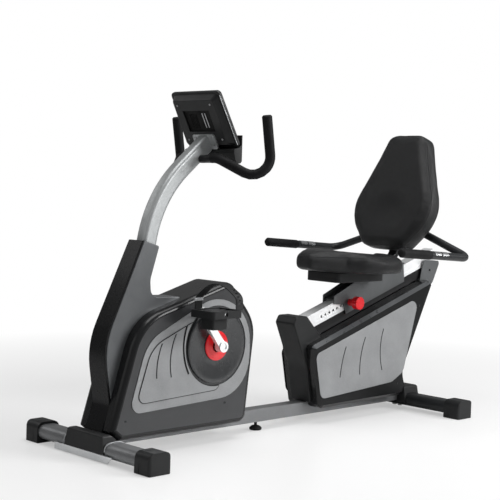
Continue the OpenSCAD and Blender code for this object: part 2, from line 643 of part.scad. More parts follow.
// Groove between two points, curved by a sag and w wide
function groove(p, q, sag, w) =
    let (c = norm(q - p), r = (c * c / 4 + sag * sag) / (2 * abs(sag)), u = unit(q - p),
         nrm = [-u[1], u[0]] * sign(sag), m = (p + q) / 2, o = m - nrm * (r - abs(sag)),
         a0 = atan2(p[1] - o[1], p[0] - o[0]), a1 = atan2(q[1] - o[1], q[0] - o[0]),
         d = a1 - a0 > 180 ? a1 - a0 - 360 : a1 - a0 < -180 ? a1 - a0 + 360 : a1 - a0)
    concat([for (i = [0:8]) o + (r + w / 2) * [cos(a0 + d * i / 8), sin(a0 + d * i / 8)]],
           [for (i = [8:-1:0]) o + (r - w / 2) * [cos(a0 + d * i / 8), sin(a0 + d * i / 8)]]);

// Bright teardrop panel round the crank cover, with a raised field and three curved grooves
insert_r = disc_d / 2 + 28;
insert_outline = rounded([[60, 130, 32], [crank_x + insert_r, 150, 128],
    [crank_x + insert_r, crank_z + insert_r, insert_r - 0.5], [373, crank_z + insert_r, insert_r - 4], [126, 348, 130]], 9);
module insert_panel() {
    difference() {
        union() {
            side_plate(-side_y - 2.4, -side_y - 0.1) polygon(insert_outline);
            side_plate(-side_y - 4.4, -side_y - 2.4) polygon(rounded([[86, 158, 24], [424, 174, 24],
                [414, 414, 54], [301, 396, 54], [143, 331, 104]], 6));
        }
        rod_y(crank_x, crank_z, disc_d + 16, -side_y - 9, 0);
        for (g = [[[163, 232], [182, 339], 7], [[221, 231], [237, 365], 12], [[291, 236], [280, 388], 17]])
            side_plate(-side_y - 9, -side_y - 2.9) polygon(groove(g[0], g[1], g[2], 4));
    }
}
module shell_inserts() { color(silver) place() both_sides() insert_panel(); }

// Dished round cover, let into the shell's opening
module side_disc() {
    r = disc_d / 2;
    translate([crank_x, -side_y, crank_z]) rotate([90, 0, 0]) rotate_extrude($fn = 96)
        polygon([[21, 2], [44, 2], [60, 1.5], [r - 26, 5], [r - 10, 7], [r - 3, 6.5], [r, 4], [r, 0.1],
                 [r - 18, 0.1], [r - 18, -8], [r - 21, -8], [r - 21, 1], [62, -1.5], [44, -1], [21, -1]]);
}
module side_discs() { color("#3f4244") place() both_sides() side_disc(); }

module hub_ring() {
    translate([crank_x, -side_y - 2.1, crank_z]) rotate([90, 0, 0]) rotate_extrude($fn = 64)
        polygon([[20, 0], [47, 0], [48, 1], [48, 3], [46, 5], [24, 8], [20, 8]]);
}
module hub_rings() { color(red) place() both_sides() hub_ring(); }

// ---------- mast shroud ----------

shroud_front_line = [[-8, shroud_foot, 0], [20, 158, 60], [-9, 336, 230], [138, 651, 0]];
shroud_panel_t = 8;
function shroud_front_corners(d) = [for (q = shroud_front_line) [q[0] + d, q[1], q[2]]];
function shroud_front_edge(d) =
    [for (p = bent([for (q = shroud_front_corners(d)) [q[0], 0, q[1], q[2]]])) [p[0], p[2]]];

// Side view of the grey sides: behind the front panel, down to a lap behind the drive shell
shroud_rear = [[206, 633, 6], [172, 530, 60], [176, 477, 26], [lap_x, 473, 5], [lap_x, 448, 5]];
shroud_hidden = [[185, 410, 0], [120, 372, 0], [84, 300, 0], [50, 190, 0], [34, shroud_foot, 0]];
shroud_corners = concat(shroud_front_corners(shroud_panel_t + 0.2), shroud_rear, shroud_hidden);
// The top and rear edges turn in to the mast, the lip meets its twin, hidden edges stay open
function shroud_seam(p) =
    p[1] > 560 || (p[0] > 160 && p[1] > 479) ? mast_w / 2 + 0.4
    : p[0] > 186 && p[1] > 440 ? 0.15
    : shroud_y(p[1]) - shell_wall - 1;

module shroud_half() {
    outer = rounded(shroud_corners);
    inner = rounded(drawn_in(shroud_corners, shell_wall));
    m = [0:len(outer) - 1];
    skin([[for (p = rounded(drawn_in(shroud_corners, 1.5))) [p[0], -shroud_y(p[1]), p[1]]],
          [for (p = outer) [p[0], -shroud_y(p[1]) + 1.5, p[1]]],
          [for (i = m) [outer[i][0], -shroud_seam(outer[i]), outer[i][1]]],
          [for (i = m) [inner[i][0], -shroud_seam(outer[i]), inner[i][1]]],
          [for (p = inner) [p[0], -shroud_y(p[1]) + shell_wall, p[1]]]], hollow = true);
}
module shroud_left() { color(mid_grey) place() shroud_half(); }
module shroud_right() { color(mid_grey) place() mirror([0, 1, 0]) shroud_half(); }

// Black panel down the front of the shroud
shroud_band = concat(shroud_front_edge(0), [for (p = flipped_points(shroud_front_edge(shroud_panel_t))) p]);
function flipped_points(l) = [for (i = [len(l) - 1:-1:0]) l[i]];
module shroud_front() {
    color(black) place() skin([for (k = [[-1, 2.5], [-1, 0], [1, 0], [1, 2.5]])
        [for (p = shroud_band) [p[0], k[0] * (shroud_y(p[1]) - (k[1] == 0 ? 2.5 : 0)), p[1]]]], hollow = true);
}

// ---------- mast, console and handlebar ----------

mast_top = [432, 974];
mast_path = bent([[mast_line(sleeve_z), 0, sleeve_z, 0], [mast_knee[0], 0, mast_knee[1], mast_bend], [mast_top[0], 0, mast_top[1], 0]], 12);
module mast_tube() {
    color("#9fa2a4") difference() {
        place() pipe_along(mast_path, soft_rect(mast_d, mast_w, 13),
            soft_rect(mast_d - 2 * tube_wall, mast_w - 2 * tube_wall, 11), [0, 1, 0]);
        on_console() translate([-100, -120, -console_back_t - bracket_t - 0.1]) cube([200, 300, 120]);
    }
}

// Console frame of reference: origin at the middle of the parting plane's lower edge, local +Y
// runs up the console and local +Z out of its screen
console_foot = [443.6, 951.7];
console_back_t = console_t * 0.55;
console_front_t = console_t - console_back_t;
bracket_t = 5.7;
module on_console() {
    place() translate([console_foot[0], 0, console_foot[1]]) rotate([0, -console_lean, 0])
        rotate([90, 0, 90]) children();
}
// Face of the console drawn in by d on every side
function console_face(d, r = 13) = rounded([[-console_w / 2 - 4 + d, -8 + d, r], [console_w / 2 + 4 - d, -8 + d, r],
    [console_w / 2 - d, console_h - d, r], [-console_w / 2 + d, console_h - d, r]], 4);

// Plate between the mast's slanted end and the console
module console_bracket() {
    color("#9fa2a4") on_console() difference() {
        translate([0, 0, -console_back_t - bracket_t]) linear_extrude(bracket_t - 0.1)
            polygon(rounded([[-51, -2, 8], [51, -2, 8], [51, 50, 8], [-51, 50, 8]], 4));
        for (s = [-1, 1], y = [10, 38]) translate([s * 38, y, -console_back_t - bracket_t - 1]) cylinder(d = 5, h = 8);
    }
}

// Back shell of the console with a sunk field and slots
module console_back() {
    t = console_back_t;
    color(dark_grey) on_console() difference() {
        skin([[for (p = console_face(21, 8)) [p[0], p[1], -t]],
              [for (p = console_face(17, 10)) [p[0], p[1], -t + 4]],
              [for (p = console_face(11, 12)) [p[0], p[1], -3]],
              [for (p = console_face(7)) [p[0], p[1], -0.1]]]);
        translate([-62, 58, -t - 1]) cube([124, 72, 7]);
        for (k = [0:4]) translate([10 + 7 * k, 66, -t + 4]) cube([3, 52, 5]);
    }
}

screen_w = 150;
screen_h = 92;
screen_y = 66;
screen_t = 2.4;
module console_front() {
    t = console_front_t;
    color(black) on_console() difference() {
        skin([[for (p = console_face(2, 12)) [p[0], p[1], 0]],
              [for (p = console_face(0)) [p[0], p[1], 2]],
              [for (p = console_face(0)) [p[0], p[1], t - 4]],
              [for (p = console_face(4, 10)) [p[0], p[1], t]]]);
        translate([-screen_w / 2 - gap, screen_y - gap, t - screen_t - 0.5])
            cube([screen_w + 2 * gap, screen_h + 2 * gap, 5]);
        for (k = keys) translate([k[0], k[1], t - key_t - key_travel + 1.7]) cylinder(d = key_d + 2 * gap, h = 20);
    }
}
module console_screen() {
    color("#2c3a40") on_console() translate([-screen_w / 2, screen_y, console_front_t - screen_t - 0.3])
        linear_extrude(screen_t)
        polygon(rounded([[0, 0, 4], [screen_w, 0, 4], [screen_w, screen_h, 4], [0, screen_h, 4]], 4));
}

key_d = 18;
key_t = 6;
key_travel = 1.5;
keys = [[0, 36], [42, 36], [-42, 36]];
module key(k) {
    color(k == 0 ? red : mid_grey) on_console() translate([keys[k][0], keys[k][1], console_front_t - key_t + 2])
        rotate_extrude() polygon([[0, 0], [key_d / 2, 0], [key_d / 2, key_t - 1], [key_d / 2 - 1, key_t], [0, key_t]]);
}
module key_start() { key(0); }
module key_up() { key(1); }
module key_down() { key(2); }

// Place in side view of a point of the console
function console_at(y, z) = console_foot + [z * cos(console_lean) - y * sin(console_lean),
                                            z * sin(console_lean) + y * cos(console_lean)];
// Trough along the console's lower edge that holds a tablet
module tablet_rest() {
    x = console_foot[0];
    z = console_foot[1];
    color(black) place() side_plate(-console_w / 2 - 3, console_w / 2 + 3)
        polygon(rounded([[x - 15, z - 24, 6], [x - 6, z - 54, 10], [x + 14, z - 57, 6], [x + 21, z - 50, 6],
                         [x + 21, z + 33, 1.5], [x + 17, z + 33, 1.5],
                         concat(console_at(-8 - gap, 14.8), 0), concat(console_at(-8 - gap, -0.8), 0),
                         [x - 15, z - 12, 3]], 3));
}

bar_x = 376;
bar_z = 906;
function bar_path(s) = bent([[bar_x, s * (mast_w / 2 + 0.2), bar_z, 0], [bar_x, s * (mast_w / 2 + 14), bar_z, 30],
    [bar_x + 8, s * 86, bar_z + 6, 50],
    [bar_x + 76, s * (bar_reach - 14), bar_z - 60, 52], [bar_x + 120, s * bar_reach, bar_z - 4, 50],
    [bar_x + 98, s * bar_reach, bar_z + 134, 0]], 4);
module handlebar() { color(steel) place() both_sides() bar_along(bar_path(-1), ring(bar_d / 2, 16), [1, 0, 0]); }
module handlebar_grips() {
    color(black) place() both_sides() {
        path = bar_path(-1);
        pipe_along([for (i = [6:len(path) - 1]) path[i]], ring(grip_d / 2, 16), ring(bar_d / 2 + gap, 16), [1, 0, 0]);
        end = path[len(path) - 1];
        translate(end + [-0.05, 0, 0.4]) rotate([0, -9, 0]) rotate_extrude($fn = 32)
            polygon([[0, 0], [grip_d / 2, 0], [grip_d / 2, 3], [grip_d / 2 - 4, 7], [0, 7]]);
    }
}

// ---------- seat rail and rear housing, measured from the rear stabiliser ----------

rail_x0 = -548;         // front end of the rail
rail_z0 = 373;          // height of the rail's top there
rail_len = (rail_back - rail_x0) / cos(rail_rise) - 12;
// Frame of reference on the rail: +X up the rail, origin at its front end on the top face
module on_rail() { place_rear() translate([rail_x0, 0, rail_z0]) rotate([0, -rail_rise, 0]) children(); }
function rail_top(x) = rail_z0 + (x - rail_x0) * tan(rail_rise);
base_h = 36;            // depth of the steel channel under the rail
slot_z = -26;           // pin line below the rail's top
slot_step = 21;
slot_x0 = 72;           // first slot along the rail

module seat_rail() {
    color("#d9dbdc") on_rail() difference() {
        translate([0, -rail_w / 2, -rail_h]) cube([rail_len, rail_w, rail_h]);
        translate([-1, -rail_w / 2 + 3, -rail_h + 3]) cube([rail_len + 2, rail_w - 6, rail_h - 6]);
        // shallow track that the pin's nose runs in, and its row of slots
        translate([40, -rail_w / 2 - 1, slot_z - 7]) cube([rail_len - 80, 2, 14]);
        for (k = [0:13]) translate([slot_x0 + k * slot_step, -rail_w / 2 - 1, slot_z])
            rotate([-90, 0, 0]) cylinder(d = 9, h = 8);
    }
}

module rail_base() {
    color(black) on_rail() difference() {
        translate([6, -rail_w / 2 + 1, -rail_h - base_h - gap / 3]) cube([rail_len - 14, rail_w - 2, base_h]);
        translate([0, -rail_w / 2 + 4, -rail_h - base_h + 3]) cube([rail_len, rail_w - 8, base_h - 6]);
    }
}

// Steel posts that carry the rail on the beam; the rear one ends in a cradle round the rail
front_post_x = -500;
cradle_y = rail_w / 2 + 6.4;
cradle_t = 4;
function under_rail(x) = rail_top(x) - (rail_h + base_h + 0.3) / cos(rail_rise);
module seat_frame() {
    f = front_post_x;
    color(silver) place_rear() {
        difference() {
            side_plate(-18, 18) polygon([[f - 18, beam_top], [f + 34, beam_top],
                                         [f + 34, under_rail(f + 34)], [f - 18, under_rail(f - 18)]]);
            side_plate(-15, 15) polygon([[f - 15, beam_top - 1], [f + 31, beam_top - 1],
                                         [f + 31, rail_top(f)], [f - 15, rail_top(f)]]);
        }
        difference() {
            union() {
                side_plate(-18, 18) polygon([[-172, beam_top], [-120, beam_top], [112, under_rail(112)],
                                             [54, under_rail(54)]]);
                side_plate(-cradle_y - cradle_t, cradle_y + cradle_t)
                    polygon([[40, 418], [74, 416], [94, under_rail(94)], [60, under_rail(60)]]);
                for (s = [-1, 1]) side_plate(s > 0 ? cradle_y : -cradle_y - cradle_t, s > 0 ? cradle_y + cradle_t : -cradle_y)
                    polygon(rounded([[40, 418, 6], [80, 416, 10], [138, 474, 24],
                                       [cradle_back, 538, 6], [cradle_back, 552, 8], [80, 558, 8], [59, 489, 8]], 3));
            }
            side_plate(-15, 15) polygon([[-167, beam_top - 1], [-126, beam_top - 1], [56, 405], [38, 405]]);
            rod_y(115, 518, 9, -60, 60);
        }
    }
}

// Moulded cover over the rail's front end and the front of its post
module rail_front_cover() {
    outer = [[-543, beam_top + 0.4, 6], [-566, 203, 120], [-634, 356, 12], [-620, 380, 12], [-568, 380, 16],
             [-496, 306, 5], [-520, beam_top + 0.4, 5]];
    color(black) place_rear() difference() {
        skin([for (k = [[-46, 3], [-44, 0.8], [-42, 0], [42, 0], [44, 0.8], [46, 3]])
            [for (p = rounded(drawn_in(outer, k[1]), 4)) [p[0], k[0], p[1]]]], hollow = true);
        // room for the rail, its channel and the post
        side_plate(-rail_w / 2 - 0.4, rail_w / 2 + 0.4)
            polygon([[rail_x0 - 1 - 60 * tan(rail_rise), rail_z0 + 60], [rail_x0 - 1 + 116 * tan(rail_rise), rail_z0 - 116],
                     [rail_x0 - 1 + 116 * tan(rail_rise), beam_top - 1],
                     [rail_x0 + 100, beam_top - 1], [rail_x0 + 100, rail_z0 + 90]]);
        side_plate(-42, 42) polygon([[-538, beam_top - 1], [-561, 203], [-590, 272], [-470, 300], [-470, beam_top - 1]]);
    }
}

rear_bevel = 12;
function rear_top(x) = 278 + (x + 570) * (494 - 278) / (92 + 570);
function rear_toe(z) = [-82 + (z - 62) * 22 / 38, z, 0];
function rear_wall(z) = [-80 + (z - 150) / 2, z, 0];
cradle_low = 422;       // the rear wall opens above this height to let the cradle through
rear_corners = [[-570, 278, 16], [-527, 57, 22], [-82, 62, 17], rear_toe(beam_top + 0.6), rear_toe(beam_top + 1.6),
    [-60, 100, 17], [-80, 150, 60], rear_wall(cradle_low - 2), rear_wall(cradle_low + 2), [92, 494, 17],
    for (x = [26, 20, -486, -492]) [x, rear_top(x), 0]];
rear_bulge = 50;        // the rear wall bows out towards the middle plane
function rear_seam(p) =
    p[0] < -490 && p[1] > beam_top - 5 ? 46.3
    : p[1] < beam_top + 1 ? beam_w / 2 + gap
    : p[0] > 20 && p[1] > cradle_low ? cradle_y + cradle_t + 1
    : p[1] > rail_top(p[0]) - (rail_h + base_h + 16) / cos(rail_rise) ? rail_w / 2 + 1
    : 0.15;
// Outline of the rear shell at share k of the way from its side face to the middle plane
function bowed(loop, k) = [for (p = loop)
    let (low = max(0, min(1, (p[1] - 120) / 90)), near = max(0, min(1, 1 + (p[0] + 80 - (p[1] - 150) / 2) / 40)))
    p + [rear_bulge * k * low * near, 0]];
module rear_shell() {
    loop = rounded(rear_corners, 5);
    inner = rounded(drawn_in(rear_corners, shell_wall), 5);
    m = len(loop) - 1;
    mid_y = -side_y * 0.5;
    skin([[for (p = rounded(drawn_in(rear_corners, rear_bevel), 5)) [p[0], -side_y, p[1]]],
          [for (p = loop) [p[0], -side_y + rear_bevel, p[1]]],
          [for (i = [0:m]) [bowed(loop, 0.7)[i][0], min(mid_y, -rear_seam(loop[i]) - 1), loop[i][1]]],
          [for (i = [0:m]) [bowed(loop, 1)[i][0], -rear_seam(loop[i]), loop[i][1]]],
          [for (i = [0:m]) [bowed(inner, 1)[i][0], -rear_seam(loop[i]), inner[i][1]]],
          [for (i = [0:m]) [bowed(inner, 0.7)[i][0], min(mid_y, -rear_seam(loop[i]) - 1), inner[i][1]]],
          [for (p = inner) [p[0], -side_y + rear_bevel + 1, p[1]]],
          [for (p = rounded(drawn_in(rear_corners, shell_wall + rear_bevel - 2), 5)) [p[0], -side_y + shell_wall, p[1]]]],
         fan = true);
}
module rear_shell_left() { color(dark_grey) place_rear() rear_shell(); }
module rear_shell_right() { color(dark_grey) place_rear() mirror([0, 1, 0]) rear_shell(); }

rear_insert_outline = rounded([[-560, 250, 22], [-8, 424, 26], [-86, 150, 40], [-150, 118, 40], [-528, 92, 26]], 6);
module rear_insert() {
    difference() {
        side_plate(-side_y - 2.6, -side_y - 0.1) polygon(rear_insert_outline);
        for (g = [[[-434, 160], [-407, 267], 4], [[-330, 161], [-305, 294], 9], [[-208, 167], [-207, 318], 14]])
            side_plate(-side_y - 9, -side_y - 1.2) polygon(groove(g[0], g[1], g[2], 3.4));
    }
}
module rear_inserts() { color(silver) place_rear() both_sides() rear_insert(); }

// ---------- seat carriage and what it carries ----------

car_x0 = 150;           // carriage's front end along the rail
car_len = 396;
pad_t = 4;
knob_s = slot_x0 + 7 * slot_step;   // place of the pull pin along the rail
car_t = 4;
side_in = rail_w / 2 + 1.2;

// Steel channel over the rail; its cheeks rise in a wedge to the level seat plate
seat_plate_z = 492;
cheek_drop = 63;
module seat_carriage() {
    x1 = rail_x0 + (car_x0 + car_len) * cos(rail_rise);
    half = side_in + car_t;
    lift = 6.5;                                 // top edge of a cheek, inside the channel's wall
    cheek_z = seat_plate_z - 2;
    meet_x = rail_x0 + (cheek_z - lift - rail_z0) / tan(rail_rise);
    color(dark_grey) difference() {
        union() {
            on_rail() translate([car_x0, -half + 0.5, pad_t + 0.4]) cube([car_len, 2 * half - 1, car_t]);
            place_rear() for (s = [-1, 1]) side_plate(s > 0 ? side_in : -half, s > 0 ? half : -side_in)
                polygon([[-414, 441], [-414, 412], [-364, 408], [-350, rail_top(-350) - cheek_drop],
                         [x1, rail_top(x1) - cheek_drop], [x1 - 8, rail_top(x1) + lift],
                         [meet_x, cheek_z], [-300, cheek_z]]);
            // the level plate ends where the channel's top comes up to it
            place_rear() translate([-400, -half + 1.2, seat_plate_z - 4]) cube([meet_x + 394, 2 * half - 2.4, 4]);
        }
        on_rail() translate([knob_s, -60, slot_z]) rotate([-90, 0, 0]) cylinder(d = collar_d + 0.4, h = 40);
    }
}

// Nylon pads between the channel and the rail
module glide_pads() {
    color("#e8e8e4") on_rail() for (x = [car_x0 + 8, car_x0 + car_len - 58])
        translate([x, -rail_w / 2 + 4, 0.2]) cube([50, rail_w - 8, pad_t + 0.1]);
}

pin_d = 8;
module seat_knob() {
    y0 = -side_in - car_t - 0.3;
    color(red) on_rail() translate([knob_s, 0, slot_z]) {
        translate([0, -78, 0]) rotate([-90, 0, 0]) difference() {
            union() {
                cylinder(d = 46, h = 22);
                translate([0, 0, 22]) cylinder(d = 26, h = 78 - 22 + y0);
            }
            for (a = [0:30:330]) rotate(a) translate([25, 0, -1]) cylinder(d = 8, h = 19);
        }
        translate([0, y0 - 1, 0]) rotate([-90, 0, 0]) cylinder(d = collar_d, h = car_t + 1.2);
        translate([0, y0 - 1, 0]) rotate([-90, 0, 0]) cylinder(d = pin_d, h = -y0 + 1 - rail_w / 2 + 0.4);
    }
}

module seat_pan() {
    color(black) place_rear() translate([0, 0, seat_plate_z + 0.1])
        linear_extrude(seat_base_z - seat_plate_z - 0.4)
        polygon(rounded([[-452, -78, 16], [-214, -87, 16], [-214, 87, 16], [-452, 78, 16]], 4));
}

// Seat cushion: a saddle with a narrow nose, wide hips, a thigh hump and a dished rear
seat_half = [[-557, -33, 12], [-530, -52, 40], [-447, -114, 90], [-404, -168, 60],
             [-345, -seat_w / 2 - 12, 70], [-258, -seat_w / 2 - 12, 60], [-212, -seat_w / 2 + 2, 40]];
seat_corners = concat(seat_half, [for (p = flipped_points(seat_half)) [p[0], -p[1], p[2]]]);
function seat_plan(d) = rounded(drawn_in(seat_corners, d), 5);
seat_base_z = 527;
function seat_base(x) = seat_base_z + 0.1 * max(0, -430 - x);
function seat_top(x) = 592 + 12 * cos((x + 482) * 0.947);
module seat_cushion() {
    c = [-350, 0];
    color(black) place_rear() skin([for (k = [[6, 0], [0, 0.12], [0, 0.7], [7, 0.93], [24, 1], [60, 1.04]])
        [for (p = (k[0] == 60 ? [for (q = seat_plan(24)) c + (q - c) * 0.5] : seat_plan(k[0])))
            [p[0], p[1], seat_base(p[0]) + (seat_top(p[0]) - seat_base(p[0])) * k[1]]]], fan = true);
}

// Back cushion: narrow at the top, wide at the hips, leaning back
back_foot = [-144.6, 604];
back_half = [[-98, 10, 46], [-back_w / 2 - 22, 138, 150], [-82, 449, 44]];
back_corners = concat(back_half, [for (p = flipped_points(back_half)) [-p[0], p[1], p[2]]]);
function back_line(z, depth) = back_foot[0] + depth / cos(back_lean) + (z - back_foot[1]) * tan(back_lean);
module on_back() {
    place_rear() translate([back_foot[0], 0, back_foot[1]]) rotate([0, back_lean, 0]) rotate([90, 0, 90]) children();
}
module backrest_cushion() {
    color(black) on_back() skin([for (k = [[8, 0], [0, 8], [0, back_t - 15], [4, back_t - 5], [15, back_t]])
        [for (p = rounded(drawn_in(back_corners, k[0]))) [p[0], p[1], back_t - k[1]]]], fan = true);
}

// Flat steel upright: up from the carriage, back under the cushion and up behind it
upright_t = 20;
module backrest_frame() {
    d = back_t + 0.4 + upright_t / 2;
    path = bent([[-201, 0, 478, 0], [-160, 0, 578, 26], [back_line(566, d), 0, 566, 26],
                 [back_line(838, d), 0, 838, 0]], 5);
    color(black) difference() {
        place_rear() bar_along(path, soft_rect(upright_t, 38, 4, 2), [0, 1, 0]);
        on_rail() translate([0, -60, -100]) cube([rail_len, 120, 100 + pad_t + 0.4 + car_t + 0.1]);
    }
}

handle_back = -28;
handle_mid = [back_line(668, back_t + 0.4 + upright_t) + (handle_d / 2 + 0.2) / cos(back_lean), 668];
function handle_path(s) = bent([[handle_mid[0], 0, handle_mid[1], 0], [handle_mid[0] - 2, s * 96, 664, 50],
    [handle_back, s * handle_y, 586, 46], [-406, s * handle_y, 613, 0]], 6);
module side_handlebar() {
    path = concat(flipped_points(handle_path(-1)), [for (i = [1:len(handle_path(1)) - 1]) handle_path(1)[i]]);
    color(dark_steel) place_rear() bar_along(path, ring(handle_d / 2, 16));
}
module side_grips() {
    color(black) place_rear() both_sides() {
        path = handle_path(-1);
        end = path[len(path) - 1];
        start = end + unit(path[len(path) - 2] - end) * 150;
        pipe_along([end, start], ring(grip_d / 2, 16), ring(handle_d / 2 + gap, 16));
        translate(end + [-0.3, 0, 0]) rotate([0, -86, 0]) rotate_extrude($fn = 32)
            polygon([[0, 0], [grip_d / 2, 0], [grip_d / 2, 2], [grip_d / 2 - 5, 9], [0, 11]]);
    }
}

main_beam();
front_stabilizer();
rear_stabilizer();
front_caps();
rear_caps();
foot_plate();
front_joint_cover();
rear_joint_cover();
frame_bolts();
center_foot();
inner_frame();
crank_bearings();
mast_tube();
console_bracket();
handlebar();
handlebar_grips();
console_back();
console_front();
console_screen();
tablet_rest();
shroud_left();
shroud_right();
shroud_front();
shell_left();
shell_right();
shell_inserts();
side_discs();
hub_rings();
drive_belt();
flywheel_axle();
servo_motor();
seat_frame();
seat_rail();
rail_base();
rail_front_cover();
rear_shell_left();
rear_shell_right();
rear_inserts();
crank_spindle();
crank_pulley();
crank_arms();
pedal_spindles();
flywheel();
brake_yoke();
pedal_left();
strap_left();
pedal_right();
strap_right();
seat_carriage();
glide_pads();
seat_pan();
seat_cushion();
backrest_frame();
backrest_cushion();
side_handlebar();
side_grips();
seat_knob();
key_start();
key_up();
key_down();
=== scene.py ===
import json
from math import cos, sin, pi, radians

import bmesh
import bpy
from mathutils import Matrix, Vector


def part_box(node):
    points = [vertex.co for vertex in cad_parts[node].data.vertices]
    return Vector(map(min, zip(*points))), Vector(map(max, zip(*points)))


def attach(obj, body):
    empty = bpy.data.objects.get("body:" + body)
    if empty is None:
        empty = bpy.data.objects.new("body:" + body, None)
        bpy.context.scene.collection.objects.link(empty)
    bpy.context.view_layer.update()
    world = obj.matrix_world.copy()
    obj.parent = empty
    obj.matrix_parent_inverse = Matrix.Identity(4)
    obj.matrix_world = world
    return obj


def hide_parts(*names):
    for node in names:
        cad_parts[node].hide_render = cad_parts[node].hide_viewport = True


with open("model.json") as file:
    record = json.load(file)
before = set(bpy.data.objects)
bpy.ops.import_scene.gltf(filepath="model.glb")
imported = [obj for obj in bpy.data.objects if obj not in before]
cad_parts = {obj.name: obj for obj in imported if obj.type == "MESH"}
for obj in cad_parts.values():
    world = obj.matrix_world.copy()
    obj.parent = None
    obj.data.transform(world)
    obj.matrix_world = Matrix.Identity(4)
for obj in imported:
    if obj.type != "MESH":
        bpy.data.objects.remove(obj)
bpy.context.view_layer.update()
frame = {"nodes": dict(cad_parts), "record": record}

scene = bpy.context.scene
nodes = frame["nodes"]
bodyOf = {node: body for body, members in frame["record"]["behaviour"]["bodies"].items() for node in members}
slotOf = {part["node"]: part["material_slot"] for part in frame["record"]["subparts"]}


# what a finish has where its own row says nothing else; lengths are in metres
plainFinish = dict(metallic=0.0, grain=0.0010, depth=0.00003, tone=0.14, stretch=(1, 1, 1))

# one row per finish; colours are linear, grain is the size of the surface texture and depth its height
finishes = {
    "frame_grey": dict(colour=(0.165, 0.169, 0.173), metallic=0.5, rough=0.38, grain=0.0011),
    "frame_black": dict(colour=(0.016, 0.017, 0.018), rough=0.36, grain=0.0009),
    "cap_plastic": dict(colour=(0.014, 0.0145, 0.015), rough=0.42, grain=0.0012, depth=0.00008),
    "bright_steel": dict(colour=(0.62, 0.63, 0.64), metallic=1.0, rough=0.24, grain=0.0015, depth=0.00001,
                         stretch=(1, 14, 14)),
    "zinc_steel": dict(colour=(0.46, 0.46, 0.45), metallic=0.9, rough=0.38, grain=0.002, depth=0.00002),
    "rubber_foot": dict(colour=(0.012, 0.012, 0.012), rough=0.75, grain=0.0015, depth=0.0001),
    "mast_silver": dict(colour=(0.33, 0.342, 0.345), metallic=0.5, rough=0.40, depth=0.00002),
    "bar_steel": dict(colour=(0.012, 0.012, 0.013), rough=0.32, grain=0.0009, depth=0.00002),
    "foam": dict(colour=(0.007, 0.007, 0.0075), rough=0.6, gloss=0.12, grain=0.0008, depth=0.00022,
                 tone=0.35),
    "console_grey": dict(colour=(0.014, 0.0145, 0.015), rough=0.38, depth=0.00007),
    "shroud_grey": dict(colour=(0.085, 0.089, 0.093), metallic=0.35, rough=0.36, grain=0.0009),
    "shroud_black": dict(colour=(0.0062, 0.0064, 0.0068), rough=0.27, gloss=0.1, grain=0.0012, coat=0.1),
    "shell_plastic": dict(colour=(0.0105, 0.0108, 0.0113), rough=0.24, gloss=0.16, depth=0.00002, coat=0.2),
    "shell_side": dict(colour=(0.028, 0.029, 0.031), metallic=0.3, rough=0.34, coat=0.15),
    "rear_side": dict(colour=(0.0085, 0.0088, 0.0092), rough=0.32, gloss=0.1, coat=0.05),
    "rear_chamfer": dict(colour=(0.085, 0.089, 0.093), metallic=0.35, rough=0.3, depth=0.00002),
    # painted shade in the grooves and along the steps of the bright panels
    "groove_shade": dict(colour=(0.006, 0.006, 0.0065), rough=0.5, depth=0.00002),
    "insert_silver": dict(colour=(0.235, 0.24, 0.245), metallic=0.35, rough=0.36, grain=0.0009,
                          depth=0.00004),
    "disc_plastic": dict(colour=(0.024, 0.0255, 0.027), metallic=0.25, rough=0.25, grain=0.0011,
                         depth=0.00002, coat=0.25),
    "red_plastic": dict(colour=(0.62, 0.012, 0.018), rough=0.25, depth=0.00002, coat=0.5),
    "belt": dict(colour=(0.014, 0.014, 0.014), rough=0.7, grain=0.002, depth=0.0001),
    "cast_wheel": dict(colour=(0.16, 0.16, 0.16), metallic=0.8, rough=0.4, grain=0.0015, depth=0.00006),
    "bracket_grey": dict(colour=(0.085, 0.089, 0.092), metallic=0.4, rough=0.42, depth=0.00004),
    "rail_aluminium": dict(colour=(0.80, 0.81, 0.82), metallic=0.45, rough=0.36, grain=0.0015,
                           depth=0.000003, stretch=(1, 16, 16)),
    "rail_black": dict(colour=(0.010, 0.010, 0.011), rough=0.4, grain=0.0009, depth=0.00002),
    "crank_white": dict(colour=(0.82, 0.83, 0.84), metallic=0.6, rough=0.2, grain=0.0018, depth=0.00002),
    "pedal_plastic": dict(colour=(0.013, 0.0135, 0.014), rough=0.45, grain=0.0011, depth=0.0001),
    "strap_rubber": dict(colour=(0.014, 0.0145, 0.015), rough=0.5, depth=0.0001),
    "nylon": dict(colour=(0.75, 0.75, 0.73), rough=0.4, depth=0.00002),
    "key_plastic": dict(colour=(0.16, 0.165, 0.17), rough=0.4, grain=0.0008),
    "screw_steel": dict(colour=(0.33, 0.33, 0.34), metallic=1.0, rough=0.3, grain=0.0008, depth=0.00002),
    # near black, painted as shade in the gaps round the bright panels and in the console's recess
    "shade_black": dict(colour=(0.004, 0.004, 0.004), rough=0.7),
    # pale trim for the console ticks and strap buckles, also used for the painted highlights on the console's
    # edge and the front cover's ends
    "pale_trim_and_highlight": dict(colour=(0.42, 0.43, 0.44), metallic=0.4, rough=0.3, depth=0.00002),
}

# how every finish wears: size of its clouds and smears, paler specks, and the spread of its roughness
wearRow = dict(cloud=0.09, smear=0.03, speck=3, speckPale=1.25, smoothest=0.86, roughest=1.18, coatRough=0.12,
               metalFrom=0.2, metalGloss=0.5, plasticGloss=0.2)


def startMaterial(name):
    material = bpy.data.materials.new(name)
    material.use_nodes = True
    tree = material.node_tree
    coords = tree.nodes.new("ShaderNodeTexCoord").outputs["Object"]
    return material, tree, tree.nodes["Principled BSDF"], coords


def scaledCoords(tree, coords, stretch):
    mapping = tree.nodes.new("ShaderNodeMapping")
    mapping.inputs["Scale"].default_value = stretch
    tree.links.new(coords, mapping.inputs["Vector"])
    return mapping.outputs["Vector"]


